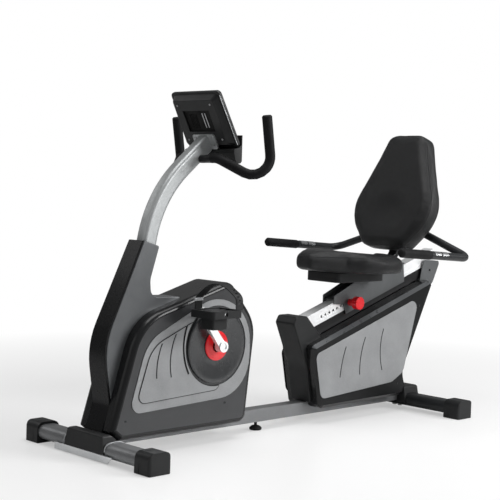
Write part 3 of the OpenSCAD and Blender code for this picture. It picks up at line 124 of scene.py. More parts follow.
def noiseNode(tree, coords, size, detail=2.0, roughness=0.5):
    noise = tree.nodes.new("ShaderNodeTexNoise")
    noise.inputs["Scale"].default_value = 1 / size
    noise.inputs["Detail"].default_value = detail
    noise.inputs["Roughness"].default_value = roughness
    tree.links.new(coords, noise.inputs["Vector"])
    return noise


def noiseValue(tree, coords, size, detail=3.0, roughness=0.55):
    return noiseNode(tree, coords, size, detail, roughness).outputs["Fac"]


def mappedRange(tree, value, low, high, fromLow=0.3, fromHigh=0.7):
    ranged = tree.nodes.new("ShaderNodeMapRange")
    for socket, number in (("From Min", fromLow), ("From Max", fromHigh), ("To Min", low), ("To Max", high)):
        ranged.inputs[socket].default_value = number
    tree.links.new(value, ranged.inputs["Value"])
    return ranged.outputs["Result"]


def mixedColour(tree, factor, first, second):
    mix = tree.nodes.new("ShaderNodeMix")
    mix.data_type = "RGBA"
    tree.links.new(factor, mix.inputs["Factor"])
    for socket, colour in ((mix.inputs[6], first), (mix.inputs[7], second)):
        if isinstance(colour, bpy.types.NodeSocket):
            tree.links.new(colour, socket)
        else:
            socket.default_value = (*colour, 1)
    return mix.outputs[2]


def scaledColour(colour, amount):
    return tuple(min(1, part * amount) for part in colour)


def bumped(tree, height, distance, under=None):
    bump = tree.nodes.new("ShaderNodeBump")
    bump.inputs["Distance"].default_value = distance
    bump.inputs["Strength"].default_value = 1.0
    tree.links.new(height, bump.inputs["Height"])
    if under is not None:
        tree.links.new(under, bump.inputs["Normal"])
    return bump.outputs["Normal"]


def finishMaterial(slot, wear):
    look = {**plainFinish, **finishes[slot]}
    material, tree, shader, coords = startMaterial(slot)
    stretched = scaledCoords(tree, coords, look["stretch"])
    colour, tone = look["colour"], look["tone"]
    cloud = mappedRange(tree, noiseValue(tree, coords, wear["cloud"], detail=4.0), 0, 1)
    base = mixedColour(tree, cloud, scaledColour(colour, 1 - tone), scaledColour(colour, 1 + tone))
    speck = mappedRange(tree, noiseValue(tree, stretched, look["grain"] * wear["speck"], detail=2.0), 0, 0.5)
    base = mixedColour(tree, speck, base, scaledColour(colour, wear["speckPale"]))
    tree.links.new(base, shader.inputs["Base Color"])
    smear = noiseValue(tree, stretched, wear["smear"], detail=5.0, roughness=0.65)
    roughest = min(1, look["rough"] * wear["roughest"])
    rough = mappedRange(tree, smear, look["rough"] * wear["smoothest"], roughest)
    tree.links.new(rough, shader.inputs["Roughness"])
    grain = noiseValue(tree, stretched, look["grain"], detail=4.0)
    tree.links.new(bumped(tree, grain, look["depth"]), shader.inputs["Normal"])
    shader.inputs["Metallic"].default_value = look["metallic"]
    gloss = wear["metalGloss"] if look["metallic"] > wear["metalFrom"] else wear["plasticGloss"]
    shader.inputs["Specular IOR Level"].default_value = look.get("gloss", gloss)
    if "coat" in look:
        shader.inputs["Coat Weight"].default_value = look["coat"]
        shader.inputs["Coat Roughness"].default_value = wear["coatRough"]
    return material


# colours of the pebbles and of the painted shade in the creases between them, then the sizes of the grain and
# of the soft folds
vinylLook = dict(colour=(0.0090, 0.0093, 0.0099), creaseShade=(0.0055, 0.0056, 0.006), pale=1.35, cloud=0.06,
                 pebble=0.0021, depth=0.00022, edge=0.16, warpSize=0.003125, warp=0.0012, fold=0.035,
                 foldDepth=0.0008, rough=0.36, smear=0.02, smoothest=0.85, roughest=1.2, gloss=0.27)


def vinylMaterial(look):
    material, tree, shader, coords = startMaterial("vinyl")
    # pebbled grain: cells with their edges bent by a finer noise
    cells = tree.nodes.new("ShaderNodeTexVoronoi")
    cells.feature = "DISTANCE_TO_EDGE"
    cells.inputs["Scale"].default_value = 1 / look["pebble"]
    warp = tree.nodes.new("ShaderNodeVectorMath")
    warp.operation = "MULTIPLY_ADD"
    tree.links.new(noiseNode(tree, coords, look["warpSize"]).outputs["Color"], warp.inputs[0])
    warp.inputs[1].default_value = [look["warp"]] * 3
    tree.links.new(coords, warp.inputs[2])
    tree.links.new(warp.outputs["Vector"], cells.inputs["Vector"])
    edge = mappedRange(tree, cells.outputs["Distance"], 0, 1, 0.0, look["edge"])
    cloud = mappedRange(tree, noiseValue(tree, coords, look["cloud"], detail=4.0), 0, 1)
    tone = mixedColour(tree, cloud, look["colour"], scaledColour(look["colour"], look["pale"]))
    # painted shade: the creases between the pebbles are darker
    tree.links.new(mixedColour(tree, edge, look["creaseShade"], tone), shader.inputs["Base Color"])
    smear = noiseValue(tree, coords, look["smear"], detail=5.0)
    rough = mappedRange(tree, smear, look["rough"] * look["smoothest"], look["rough"] * look["roughest"])
    tree.links.new(rough, shader.inputs["Roughness"])
    folds = bumped(tree, noiseValue(tree, coords, look["fold"]), look["foldDepth"])
    tree.links.new(bumped(tree, edge, look["depth"], folds), shader.inputs["Normal"])
    shader.inputs["Specular IOR Level"].default_value = look["gloss"]
    return material


screenLook = dict(dark=(0.010, 0.014, 0.015), pale=(0.016, 0.021, 0.022), smear=0.02, rough=(0.05, 0.11),
                  coat=0.8, coatRough=0.03)


def screenMaterial(look):
    material, tree, shader, coords = startMaterial("screen")
    smear = noiseValue(tree, coords, look["smear"], detail=4.0)
    tone = mixedColour(tree, mappedRange(tree, smear, 0, 1), look["dark"], look["pale"])
    tree.links.new(tone, shader.inputs["Base Color"])
    tree.links.new(mappedRange(tree, smear, *look["rough"]), shader.inputs["Roughness"])
    shader.inputs["Coat Weight"].default_value = look["coat"]
    shader.inputs["Coat Roughness"].default_value = look["coatRough"]
    return material


materials = {slot: finishMaterial(slot, wearRow) for slot in finishes}
materials["vinyl"] = vinylMaterial(vinylLook)
materials["screen"] = screenMaterial(screenLook)
print("materials:", len(materials))


# how the solids' meshes are cleaned and their edges softened: metres, degrees and counts
meshRow = dict(merge=0.00002, flat=0.08, sharp=32, bevelSegments=2, evenness=80)


def objectFrom(name, bm):
    mesh = bpy.data.meshes.new(name)
    bm.to_mesh(mesh)
    bm.free()
    made = bpy.data.objects.new(name, mesh)
    scene.collection.objects.link(made)
    return made


def shadeSmooth(mesh):
    mesh.polygons.foreach_set("use_smooth", [True] * len(mesh.polygons))


def addPiece(name, bm, body, slot):
    piece = objectFrom(name, bm)
    shadeSmooth(piece.data)
    piece.data.set_sharp_from_angle(angle=radians(meshRow["sharp"]))
    piece.data.materials.append(materials[slot])
    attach(piece, body)
    return piece


def cleanBmesh(node):
    # a CAD node's mesh with its loose triangles joined and its flat areas made whole
    bm = bmesh.new()
    bm.from_mesh(nodes[node].data)
    bmesh.ops.remove_doubles(bm, verts=bm.verts, dist=meshRow["merge"])
    bmesh.ops.dissolve_degenerate(bm, dist=meshRow["merge"], edges=bm.edges)
    bmesh.ops.dissolve_limit(bm, angle_limit=radians(meshRow["flat"]), use_dissolve_boundaries=False,
                             verts=bm.verts, edges=bm.edges)
    return bm


def refined(node, width):
    piece = addPiece(node + "_body", cleanBmesh(node), bodyOf[node], slotOf[node])
    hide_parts(node)
    if width:
        bevel = piece.modifiers.new("edges", "BEVEL")
        bevel.width = width
        bevel.segments = meshRow["bevelSegments"]
        bevel.limit_method = "ANGLE"
        bevel.angle_limit = radians(meshRow["sharp"])
        bevel.use_clamp_overlap = True
        bevel.miter_outer = "MITER_ARC"
    evened = piece.modifiers.new("evened", "WEIGHTED_NORMAL")
    evened.keep_sharp = True
    evened.weight = meshRow["evenness"]
    return piece


def cylinderBetween(bm, start, end, radius, sides):
    axis = end - start
    turn = axis.to_track_quat("Z", "Y").to_matrix().to_4x4()
    place = Matrix.Translation((start + end) / 2) @ turn
    bmesh.ops.create_cone(bm, cap_ends=True, segments=sides, radius1=radius, radius2=radius,
                          depth=axis.length, matrix=place)


# a pan head's top and the rim round its recess as shares of its radius, and its sides
headRow = dict(top=0.82, rim=0.35, sides=20)


def screwHead(bm, centre, axis, radius, height, recess):
    # pan head with a round recess, from its foot at centre up along axis
    turn = axis.to_track_quat("Z", "Y").to_matrix().to_4x4()
    place = Matrix.Translation(centre) @ turn @ Matrix.Translation((0, 0, height / 2))
    head = bmesh.ops.create_cone(bm, cap_ends=True, segments=headRow["sides"], radius1=radius,
                                 radius2=radius * headRow["top"], depth=height, matrix=place)["verts"]
    faces = {f for v in head for f in v.link_faces}
    top = [max(faces, key=lambda f: (f.calc_center_median() - centre).dot(axis))]
    bmesh.ops.inset_region(bm, faces=top, thickness=radius * headRow["rim"], use_even_offset=True)
    bmesh.ops.translate(bm, verts=list({v for f in top for v in f.verts}), vec=axis * -recess)


def roundedBar(bm, size, place, bevel, segments):
    # box of that size with rounded edges, set in place by a matrix
    verts = bmesh.ops.create_cube(bm, size=1, matrix=Matrix.Diagonal((*size, 1)))["verts"]
    edges = list({e for v in verts for e in v.link_edges})
    result = bmesh.ops.bevel(bm, geom=verts + edges, offset=bevel, segments=segments, profile=0.5,
                             affect="EDGES", material=-1)
    verts = list({v for f in result["faces"] for v in f.verts} | {v for v in verts if v.is_valid})
    bmesh.ops.transform(bm, matrix=place, verts=verts)


# width of the rounded edge in metres, and the nodes that get it
edgeRows = {
    0.0016: ["main_beam", "seat_rail", "rail_base", "mast_tube", "seat_frame"],
    0.0012: ["front_stabilizer", "rear_stabilizer", "crank_arms", "console_bracket", "tablet_rest",
             "seat_carriage", "crank_spindle", "pedal_spindles", "flywheel"],
    0.002: ["front_caps", "rear_caps", "front_joint_cover", "rear_joint_cover", "pedal_left", "pedal_right",
            "seat_pan"],
    0.0010: ["shroud_left", "shroud_right", "shroud_front", "shell_inserts", "rear_inserts",
             "rail_front_cover", "console_back", "console_front", "side_discs", "hub_rings"],
    0.0006: ["foot_plate", "center_foot", "frame_bolts", "seat_knob", "key_start", "key_up", "key_down",
             "console_screen", "crank_pulley", "brake_yoke", "servo_motor", "inner_frame", "flywheel_axle",
             "glide_pads", "crank_bearings", "drive_belt"],
    0.0: ["handlebar", "handlebar_grips", "side_handlebar", "side_grips", "shell_left", "shell_right",
          "rear_shell_left", "rear_shell_right", "backrest_frame", "strap_left", "strap_right"],
}
body = {node: refined(node, width) for width, names in edgeRows.items() for node in names}
print("refined pieces:", len(body))


# what both cushions share, then each one's own size before it swells, its limits, dish and seams
padRow = dict(voxel=0.006, pressure=2.5, frames=14, quality=4, smoothing=0.5, seamRadius=0.0016,
              seamLift=-0.0004)
seatRow = dict(padRow, node="seat_cushion", shrink=(0.984, 0.984, 0.95), cap=0.005, smooth=3, flatFrom=0.0005,
               seamRise=0.74, seamAhead=0.02, seamPoints=150, seamReach=0.4)
backRow = dict(padRow, node="backrest_cushion", shrink=(0.985, 1.012, 0.998), cap=0.006, smooth=6,
               foot=(0.5079, 0.604), lean=17.5, dishCentre=0.145, dishSize=(0.105, 0.085), dishDepth=0.007,
               dishWithin=0.03, seams=(("back_seam_front", 0.016), ("back_seam_rear", 0.060)),
               seamCentre=0.21, seamPoints=170, seamReach=0.5)


def liveMesh(piece):
    graph = bpy.context.evaluated_depsgraph_get()
    return bpy.data.meshes.new_from_object(piece.evaluated_get(graph))


def keepShape(piece):
    mesh = liveMesh(piece)
    piece.modifiers.clear()
    piece.data = mesh


def swollen(row):
    # the solid's own form, made finer, blown up a little and held near where it started
    bm = cleanBmesh(row["node"])
    low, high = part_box(row["node"])
    centre = (low + high) / 2
    bmesh.ops.scale(bm, vec=row["shrink"], space=Matrix.Translation(-centre), verts=bm.verts)
    pad = objectFrom(row["node"] + "_pad", bm)
    remesh = pad.modifiers.new("fine", "REMESH")
    remesh.mode = "VOXEL"
    remesh.voxel_size = row["voxel"]
    keepShape(pad)
    rest = [v.co.copy() for v in pad.data.vertices]
    cloth = pad.modifiers.new("cloth", "CLOTH")
    cloth.settings.use_pressure = True
    cloth.settings.uniform_pressure_force = row["pressure"]
    cloth.settings.effector_weights.gravity = 0
    cloth.settings.quality = row["quality"]
    for frameNumber in range(1, row["frames"] + 1):
        scene.frame_set(frameNumber)
    keepShape(pad)
    for vertex, start in zip(pad.data.vertices, rest):
        step = vertex.co - start
        if step.length > row["cap"]:
            vertex.co = start + step * (row["cap"] / step.length)
    scene.frame_set(1)
    bm = bmesh.new()
    bm.from_mesh(pad.data)
    for _ in range(row["smooth"]):
        bmesh.ops.smooth_vert(bm, verts=bm.verts, factor=row["smoothing"], use_axis_x=True, use_axis_y=True,
                              use_axis_z=True)
    bm.to_mesh(pad.data)
    bm.free()
    pad.data.materials.clear()
    pad.data.materials.append(materials["vinyl"])
    shadeSmooth(pad.data)
    return pad


def finishPad(pad, row):
    finer = pad.modifiers.new("finer", "SUBSURF")
    finer.levels = finer.render_levels = 1
    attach(pad, bodyOf[row["node"]])
    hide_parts(row["node"])


def seamLoop(name, pad, middle, across, up, body, row):
    # welt round the pad's skin, found by looking inwards from points on a circle outside it
    graph = bpy.context.evaluated_depsgraph_get()
    graph.update()
    points = []
    for k in range(row["seamPoints"]):
        turn = 2 * pi * k / row["seamPoints"]
        start = middle + (across * cos(turn) + up * sin(turn)) * row["seamReach"]
        hit, place, normal, _ = pad.ray_cast(start, (middle - start).normalized(), depsgraph=graph)
        if hit:
            points.append(place + normal * row["seamLift"])
    count = len(points)
    curve = bpy.data.curves.new(name, "CURVE")
    curve.dimensions = "3D"
    curve.bevel_depth = row["seamRadius"]
    curve.bevel_resolution = 2
    spline = curve.splines.new("POLY")
    spline.points.add(count - 1)
    for k, point in enumerate(spline.points):
        point.co = (*((points[k - 1] + 2 * points[k] + points[(k + 1) % count]) / 4), 1)
    spline.use_cyclic_u = True
    holder = bpy.data.objects.new(name + "_curve", curve)
    scene.collection.objects.link(holder)
    mesh = liveMesh(holder)
    mesh.name = name
    bpy.data.objects.remove(holder)
    welt = bpy.data.objects.new(name, mesh)
    mesh.materials.clear()
    mesh.materials.append(materials["vinyl"])
    shadeSmooth(mesh)
    scene.collection.objects.link(welt)
    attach(welt, body)


seatPad = swollen(seatRow)
backPad = swollen(backRow)

# the back's own axes: up along it, and out of its front face
lean = radians(backRow["lean"])
backUp = Vector((sin(lean), 0, cos(lean)))
backOut = Vector((-cos(lean), 0, sin(lean)))
backFoot = Vector((backRow["foot"][0], 0, backRow["foot"][1]))


def dishBack(pad, row):
    # hollow in the front face, where the lower back rests
    halfWidth, halfHeight = row["dishSize"]
    for vertex in pad.data.vertices:
        offset = vertex.co - backFoot
        along, depth = offset.dot(backUp), -offset.dot(backOut)
        reach = ((along - row["dishCentre"]) / halfHeight) ** 2 + (offset.y / halfWidth) ** 2
        if depth < row["dishWithin"] and reach < 1:
            vertex.co -= backOut * row["dishDepth"] * (1 - reach) ** 2


dishBack(backPad, backRow)
# the seat keeps a flat underside
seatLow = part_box("seat_cushion")[0].z
for vertex in seatPad.data.vertices:
    vertex.co.z = max(vertex.co.z, seatLow + seatRow["flatFrom"])

finishPad(seatPad, seatRow)
finishPad(backPad, backRow)

acrossBike = Vector((0, 1, 0))
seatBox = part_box("seat_cushion")
seamHeight = seatBox[0].z + (seatBox[1].z - seatBox[0].z) * seatRow["seamRise"]
seatMiddle = Vector(((seatBox[0].x + seatBox[1].x) / 2 + seatRow["seamAhead"], 0, seamHeight))
seamLoop("seat_seam", seatPad, seatMiddle, Vector((1, 0, 0)), acrossBike, "carriage", seatRow)
for name, depth in backRow["seams"]:
    seamMiddle = backFoot + backUp * backRow["seamCentre"] - backOut * depth
    seamLoop(name, backPad, seamMiddle, acrossBike, backUp, "carriage", backRow)
print("cushions:", len(seatPad.data.vertices), len(backPad.data.vertices))


# the front foot's middle: the places of the trims below are measured from it, in metres
frontFoot = sum(corner.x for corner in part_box("front_stabilizer")) / 2

# heights nearer than this to each other are one level of a panel
sameLevel = 0.0002


def paintFaces(piece, choose, slots):
    # choose gives each face the place of its finish in the list of slots
    piece.data.materials.clear()
    for slot in slots:
        piece.data.materials.append(materials[slot])
    for polygon in piece.data.polygons:
        polygon.material_index = choose(polygon)


# which faces of the housings are their flat sides, and which the sloped edge above the rear panels
sideRow = dict(flat=0.985, out=0.08)
slopeRow = dict(up=0.2, aside=0.35, out=0.06)


def isSide(polygon):
    return abs(polygon.normal.y) > sideRow["flat"] and abs(polygon.center.y) > sideRow["out"]


def isSlope(polygon):
    normal = polygon.normal
    return (normal.z > slopeRow["up"] and abs(normal.y) > slopeRow["aside"]
            and abs(polygon.center.y) > slopeRow["out"])


for node in ("shell_left", "shell_right"):
    paintFaces(body[node], lambda polygon: 0 if isSide(polygon) else 1, ["shell_side", "shell_plastic"])
for node in ("rear_shell_left", "rear_shell_right"):
    paintFaces(body[node], lambda polygon: 0 if isSide(polygon) else 1 if isSlope(polygon) else 2,
               ["rear_side", "rear_chamfer", "shell_plastic"])


def paintGrooveShade(node):
    # painted shade: the grooves' floors and walls, which lie between the panel's field and its lower step,
    # get a near-black finish
    mesh = body[node].data
    floorLevel, top = sorted({round(abs(v.co.y), 4) for v in mesh.vertices})[-2:]

    def choose(polygon):
        lowest = min(abs(mesh.vertices[i].co.y) for i in polygon.vertices)
        return 1 if floorLevel - sameLevel / 2 < lowest < top - sameLevel else 0
    paintFaces(body[node], choose, ["insert_silver", "groove_shade"])


paintGrooveShade("shell_inserts")
paintGrooveShade("rear_inserts")

shadowGapRow = dict(reach=0.0036, depth=0.0012)


def addShadowGap(name, node, row):
    # painted shadow gap: a dark frame round a bright panel, standing in for the shade in the gap, grown from
    # the panel's own back face
    bm = cleanBmesh(node)
    level = min(abs(v.co.y) for v in bm.verts)
    others = [f for f in bm.faces if any(abs(abs(v.co.y) - level) > sameLevel for v in f.verts)]
    bmesh.ops.delete(bm, geom=others, context="FACES")
    bmesh.ops.inset_region(bm, faces=bm.faces[:], thickness=row["reach"], use_outset=True, use_boundary=True,
                           use_even_offset=True)
    grown = bmesh.ops.extrude_face_region(bm, geom=bm.faces[:])["geom"]
    for vertex in (v for v in grown if isinstance(v, bmesh.types.BMVert)):
        vertex.co.y += row["depth"] * (1 if vertex.co.y > 0 else -1)
    bmesh.ops.recalc_face_normals(bm, faces=bm.faces)
    addPiece(name, bm, "frame", "shade_black")


# painted shade in the gaps round the drive and rear housing panels
addShadowGap("shell_shadow_gap", "shell_inserts", shadowGapRow)
addShadowGap("rear_shadow_gap", "rear_inserts", shadowGapRow)

# painted shade: dark line along the step of the bright panels, between their border and their field
fieldShadeRow = dict(inset=0.0006, radius=0.0013, proud=0.0005, clear=0.002, sides=10, kept=0.97)


def outerLoop(faces):
    # the longest closed run of edges round a set of faces, as points
    faces = set(faces)
    edges = {e for f in faces for e in f.edges if len([g for g in e.link_faces if g in faces]) == 1}
    loops = []
    while edges:
        first = min(edges, key=lambda e: e.index)
        edges.remove(first)
        run = list(first.verts)
        while run[-1] is not run[0]:
            step = next(e for e in run[-1].link_edges if e in edges)
            edges.remove(step)
            run.append(step.other_vert(run[-1]))
        loops.append([v.co.copy() for v in run[:-1]])
    return max(loops, key=lambda loop: sum((a - b).length for a, b in zip(loop, loop[1:])))


def movedInwards(loop, inset, kept):
    # the loop moved towards its own middle, without the points that come too near to it again
    count = len(loop)
    turning = sum(loop[k - 1].x * loop[k].z - loop[k].x * loop[k - 1].z for k in range(count))
    points = []
    for k, point in enumerate(loop):
        along = (loop[(k + 1) % count] - point).normalized() + (point - loop[k - 1]).normalized()
        along.y = 0
        along.normalize()
        inward = Vector((-along.z, 0, along.x)) * (1 if turning > 0 else -1)
        moved = point + inward * inset
        if min((moved - other).length for other in loop) > inset * kept:
            points.append(moved)
    return points


def addFieldShadeLine(name, node, row):
    source = cleanBmesh(node)
    source.edges.index_update()
    top = max(abs(v.co.y) for v in source.verts)
    low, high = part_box("side_discs")
    hub, reach = (low + high) / 2, (high.z - low.z) / 2 + row["clear"]
    bm = bmesh.new()
    for side in (-1, 1):
        loop = outerLoop([f for f in source.faces if all(v.co.y * side > top - sameLevel for v in f.verts)])
        sunk = Vector((0, side * (row["proud"] - row["radius"]), 0))
        points = [point + sunk for point in movedInwards(loop, row["inset"], row["kept"])]
        for first, second in zip(points, points[1:] + points[:1]):
            away = min(Vector((p.x - hub.x, 0, p.z - hub.z)).length for p in (first, second))
            if away > reach and (first - second).length > sameLevel:
                cylinderBetween(bm, first, second, row["radius"], row["sides"])
    source.free()
    addPiece(name, bm, "frame", "groove_shade")


addFieldShadeLine("shell_field_shade_line", "shell_inserts", fieldShadeRow)

# slots in the outer leg of each pedal strap, from the lowest one up and inwards, and a small light buckle on
# the inner leg; places are measured from a point near the pedal's top
strapRow = dict(middle=(-0.007, -0.010), slots=5, slot=(0.013, 0.016, 0.0042), slotBevel=0.0006,
                first=(0.056, 0.050, 0.030), travel=(-0.012, -0.014, 0.042), lean=24,
                buckle=(0.034, 0.0064, 0.010), buckleBevel=0.0012, bucklePlace=(-0.024, -0.049, 0.040))


def strapTrim(side, sign, row):
    low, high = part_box("pedal_" + side)
    ahead, rise = row["middle"]
    middle = Vector(((low.x + high.x) / 2 + ahead, (low.y + high.y) / 2, high.z + rise))
    (x, y, z), (stepX, stepY, stepZ) = row["first"], row["travel"]
    cutters = bmesh.new()
    for k in range(row["slots"]):
        t = k / (row["slots"] - 1)
        centre = middle + Vector((x + stepX * t, sign * (y + stepY * t * t), z + stepZ * t))
        turn = Matrix.Rotation(radians(sign * row["lean"] * t), 4, "X")
        roundedBar(cutters, row["slot"], Matrix.Translation(centre) @ turn, row["slotBevel"], 1)
    cutter = objectFrom("cutters", cutters)
    strap = body["strap_" + side]
    cut = strap.modifiers.new("slots", "BOOLEAN")
    cut.operation = "DIFFERENCE"
    cut.solver = "EXACT"
    cut.object = cutter
    keepShape(strap)
    bpy.data.objects.remove(cutter)
    x, y, z = row["bucklePlace"]
    place = Matrix.Translation(middle + Vector((x, sign * y, z)))
    bm = bmesh.new()
    roundedBar(bm, row["buckle"], place, row["buckleBevel"], 3)
    addPiece("strap_buckle_" + side, bm, "pedal_" + side, "pale_trim_and_highlight")


strapTrim("left", -1, strapRow)
strapTrim("right", 1, strapRow)

# steel contacts for the pulse, bent over the top of each side handle; start and end along it
pulseRow = dict(spans=((0.015, 0.050), (0.056, 0.091)), radius=0.0143, thickness=0.0008, arc=170, steps=16,
                foot=(1.176, 0.6023), slope=(0.9974, -0.0713), y=0.322)


def addPulse(name, sign, row):
    along = Vector((row["slope"][0], 0, row["slope"][1]))
    over = Vector((-row["slope"][1], 0, row["slope"][0]))
    foot = Vector((frontFoot + row["foot"][0], sign * row["y"], row["foot"][1]))
    steps = row["steps"]
    turns = [radians(row["arc"] * (k / steps - 0.5)) for k in range(steps + 1)]
    outward = [over * cos(turn) + Vector((0, sin(turn), 0)) for turn in turns]
    radii = (row["radius"], row["radius"] + row["thickness"])
    bm = bmesh.new()
    for span in row["spans"]:
        innerA, outerA, innerB, outerB = (
            [bm.verts.new(foot + along * distance + radius * out) for out in outward]
            for distance in span for radius in radii)
        for first, second in ((outerA, outerB), (innerA, innerB), (innerA, outerA), (innerB, outerB)):
            for k in range(steps):
                bm.faces.new((first[k], first[k + 1], second[k + 1], second[k]))
        for k in (0, steps):
            bm.faces.new((innerA[k], outerA[k], outerB[k], innerB[k]))
    bmesh.ops.recalc_face_normals(bm, faces=bm.faces)
    addPiece(name, bm, "carriage", "bright_steel")


addPulse("pulse_left", -1, pulseRow)
addPulse("pulse_right", 1, pulseRow)

# painted highlight: pale bars along the front cover's two rounded ends, arched over the foot tube
archHighlightRow = dict(y=0.1012, grow=0.0022, radius=0.0017, steps=22, power=2.6, sides=10)


def addArchHighlight(name, row):
    low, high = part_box("front_stabilizer")
    middle = (low + high) / 2
    halfX, halfZ = ((high.x - low.x) / 2 + row["grow"], (high.z - low.z) / 2 + row["grow"])

    def rounded(part):
        return abs(part) ** (2 / row["power"]) * (1 if part > 0 else -1)

    bm = bmesh.new()
    for side in (-1, 1):
        points = []
        for k in range(row["steps"] + 1):
            turn = pi * k / row["steps"]
            points.append(Vector((middle.x + halfX * rounded(cos(turn)), side * row["y"],
                                  middle.z + halfZ * rounded(sin(turn)))))
        for first, second in zip(points, points[1:]):
            cylinderBetween(bm, first, second, row["radius"], row["sides"])
    addPiece(name, bm, "frame", "pale_trim_and_highlight")


addArchHighlight("cover_arch_highlights", archHighlightRow)

# the console's lowest point and lean, the depths of its back, and its recess painted dark as shade, ticks,
# painted edge highlight and screws
consoleRow = dict(
    foot=(0.4436, 0.9517), lean=28, back=0.0187, recess=((-0.062, 0.058), (0.062, 0.130)), recessEdge=0.0005,
    ticks=(-0.020, -0.033), tick=(0.0034, 0.050, 0.0012), tickUp=0.094, tickDepth=0.0053, tickBevel=0.0004,
    edge=((-0.1181, 0.002, 0.0005), (-0.1150, 0.172, 0.0005)), edgeRadius=0.0013, edgeSides=12)
consoleScrews = dict(places=((-0.080, 0.030), (0.080, 0.030), (-0.078, 0.150), (0.078, 0.150)), behind=0,
                     radius=0.0036, height=0.0016, recess=0.0012)
bracketScrews = dict(places=((-0.038, 0.010), (0.038, 0.010), (-0.038, 0.038), (0.038, 0.038)), behind=0.0057,
                     radius=0.0045, height=0.0022, recess=0.0012)
shellScrews = dict(places=((0.050, 0.112), (0.452, 0.128), (0.352, 0.452), (0.968, 0.118), (1.318, 0.110),
                           (1.430, 0.392)), y=0.083, radius=0.0038, height=0.0012, recess=0.0008)

# the console's own axes: across, up its back, and out of its screen
tilt = radians(consoleRow["lean"])
consoleAxes = Matrix(((0, -sin(tilt), cos(tilt), frontFoot + consoleRow["foot"][0]), (1, 0, 0, 0),
                      (0, cos(tilt), sin(tilt), consoleRow["foot"][1]), (0, 0, 0, 1)))
intoConsole = consoleAxes.inverted()


def inRecess(polygon):
    x, y, z = intoConsole @ polygon.center
    (left, low), (right, high) = consoleRow["recess"]
    edge = consoleRow["recessEdge"]
    return left - edge < x < right + edge and low - edge < y < high + edge and z > edge - consoleRow["back"]


def addConsoleTrim(row):
    # painted shade: the faces of the recess get a near-black finish
    paintFaces(body["console_back"], lambda polygon: 1 if inRecess(polygon) else 0,
               ["console_grey", "shade_black"])
    bm = bmesh.new()
    for x in row["ticks"]:
        place = consoleAxes @ Matrix.Translation((x, row["tickUp"], row["tickDepth"] - row["back"]))
        roundedBar(bm, row["tick"], place, row["tickBevel"], 1)
    addPiece("console_ticks", bm, "frame", "pale_trim_and_highlight")
    # painted highlight: a pale bar along the back's right edge
    bm = bmesh.new()
    start, end = (consoleAxes @ Vector(place) for place in row["edge"])
    cylinderBetween(bm, start, end, row["edgeRadius"], row["edgeSides"])
    addPiece("console_edge_highlight", bm, "frame", "pale_trim_and_highlight")
    bm = bmesh.new()
    outward = consoleAxes.to_3x3() @ Vector((0, 0, -1))
    for screws in (consoleScrews, bracketScrews):
        for x, y in screws["places"]:
            centre = consoleAxes @ Vector((x, y, -row["back"] - screws["behind"]))
            screwHead(bm, centre, outward, screws["radius"], screws["height"], screws["recess"])
    addPiece("console_screws", bm, "frame", "screw_steel")


def addShellScrews(row):
    # they close the housings, on their flat sides
    bm = bmesh.new()
    for x, z in row["places"]:
        for side in (-1, 1):
            centre = Vector((frontFoot + x, side * row["y"], z))
            screwHead(bm, centre, Vector((0, side, 0)), row["radius"], row["height"], row["recess"])
    addPiece("shell_screws", bm, "frame", "frame_black")


addConsoleTrim(consoleRow)
addShellScrews(shellScrews)


cameraRow = dict(place=(-3.0327, -3.0056, 0.858), azimuth=-43.75, elevation=3.4, roll=1.7, lens=90, reach=60)


def addCamera(row):
    turn, rise, roll = (radians(row[key]) for key in ("azimuth", "elevation", "roll"))
    back = Vector((sin(turn) * cos(rise), -cos(turn) * cos(rise), sin(rise)))
    right = Vector((cos(turn), sin(turn), 0))
    up = back.cross(right)
    axes = Matrix((right * cos(roll) + up * sin(roll), up * cos(roll) - right * sin(roll), back)).transposed()
    camera = bpy.data.objects.new("camera", bpy.data.cameras.new("camera"))
    camera.data.lens = row["lens"]
    camera.data.clip_end = row["reach"]
    camera.matrix_world = Matrix.Translation(row["place"]) @ axes.to_4x4()
    scene.collection.objects.link(camera)
    scene.camera = camera


addCamera(cameraRow)

# lift is the share of plain white that the camera sees near the part; it grows to 1 at the end of the fade
floorRow = dict(size=30, level=-0.0004, colour=(0.86, 0.86, 0.86), mottle=0.4, shade=0.985, rough=0.30,
                gloss=0.35, lift=0.42, fadeStart=1.1, fadeEnd=2.6)


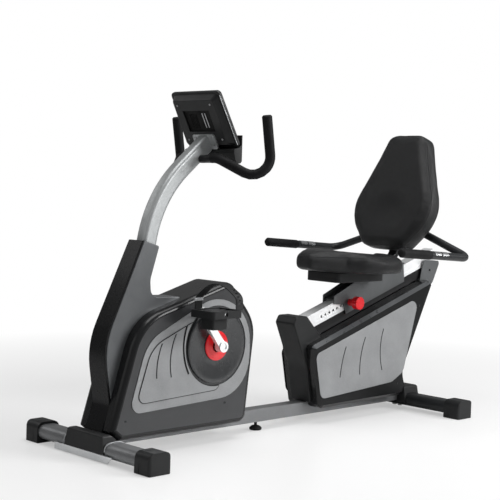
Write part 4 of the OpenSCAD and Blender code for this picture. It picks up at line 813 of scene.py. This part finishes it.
def addFloor(row):
    bm = bmesh.new()
    bmesh.ops.create_grid(bm, x_segments=1, y_segments=1, size=row["size"] / 2,
                          matrix=Matrix.Translation((0, 0, row["level"])))
    floor = objectFrom("floor", bm)
    material, tree, shader, coords = startMaterial("floor")
    mottle = mappedRange(tree, noiseValue(tree, coords, row["mottle"]), 0, 1)
    pale = mixedColour(tree, mottle, row["colour"], scaledColour(row["colour"], row["shade"]))
    tree.links.new(pale, shader.inputs["Base Color"])
    shader.inputs["Roughness"].default_value = row["rough"]
    shader.inputs["Specular IOR Level"].default_value = row["gloss"]
    # seen from afar the floor turns into the plain white of the background
    away = tree.nodes.new("ShaderNodeVectorMath")
    away.operation = "LENGTH"
    tree.links.new(coords, away.inputs[0])
    fade = mappedRange(tree, away.outputs["Value"], row["lift"], 1, row["fadeStart"], row["fadeEnd"])
    path = tree.nodes.new("ShaderNodeLightPath")
    amount = tree.nodes.new("ShaderNodeMath")
    amount.operation = "MULTIPLY"
    tree.links.new(path.outputs["Is Camera Ray"], amount.inputs[0])
    tree.links.new(fade, amount.inputs[1])
    white = tree.nodes.new("ShaderNodeEmission")
    white.inputs["Color"].default_value = (1, 1, 1, 1)
    blend = tree.nodes.new("ShaderNodeMixShader")
    tree.links.new(amount.outputs["Value"], blend.inputs["Fac"])
    tree.links.new(shader.outputs["BSDF"], blend.inputs[1])
    tree.links.new(white.outputs["Emission"], blend.inputs[2])
    tree.links.new(blend.outputs["Shader"], tree.nodes["Material Output"].inputs["Surface"])
    floor.data.materials.append(material)


addFloor(floorRow)

# strength of the white surroundings: as light, in mirrors, and as the camera shows them
worldRow = dict(light=0.24, mirrored=0.22, shown=1.0)


def addWorld(row):
    world = bpy.data.worlds.new("studio")
    scene.world = world
    world.use_nodes = True
    tree = world.node_tree
    shade = tree.nodes["Background"]
    path = tree.nodes.new("ShaderNodeLightPath")
    soft = mappedRange(tree, path.outputs["Is Glossy Ray"], row["light"], row["mirrored"], 0, 1)
    whole = tree.nodes.new("ShaderNodeMath")
    whole.operation = "MAXIMUM"
    tree.links.new(soft, whole.inputs[0])
    tree.links.new(mappedRange(tree, path.outputs["Is Camera Ray"], 0, row["shown"], 0, 1), whole.inputs[1])
    tree.links.new(whole.outputs["Value"], shade.inputs["Strength"])
    shade.inputs["Color"].default_value = (1, 1, 1, 1)


addWorld(worldRow)

# soft boxes: place, the point they face, width and height, and power in watts
softBoxes = {
    "key": dict(place=(2.2, -3.2, 2.1), aim=(0.1, 0, 0.5), size=(2.2, 1.6), power=155),
    "fill": dict(place=(-3.3, 0.4, 1.9), aim=(-0.1, 0, 0.6), size=(1.6, 1.8), power=6),
    "top": dict(place=(0.0, -0.4, 3.4), aim=(0, 0, 0), size=(3.0, 2.0), power=90),
    "rim": dict(place=(-1.6, 3.0, 2.6), aim=(0, 0, 0.6), size=(2.0, 1.2), power=12),
}
for name, row in softBoxes.items():
    lamp = bpy.data.lights.new(name, "AREA")
    lamp.shape = "RECTANGLE"
    lamp.size, lamp.size_y = row["size"]
    lamp.energy = row["power"]
    box = bpy.data.objects.new(name, lamp)
    place = Vector(row["place"])
    turn = (place - Vector(row["aim"])).to_track_quat("Z", "Y").to_matrix().to_4x4()
    box.matrix_world = Matrix.Translation(place) @ turn
    scene.collection.objects.link(box)
scene.view_settings.view_transform = "Standard"
print("stage ready")
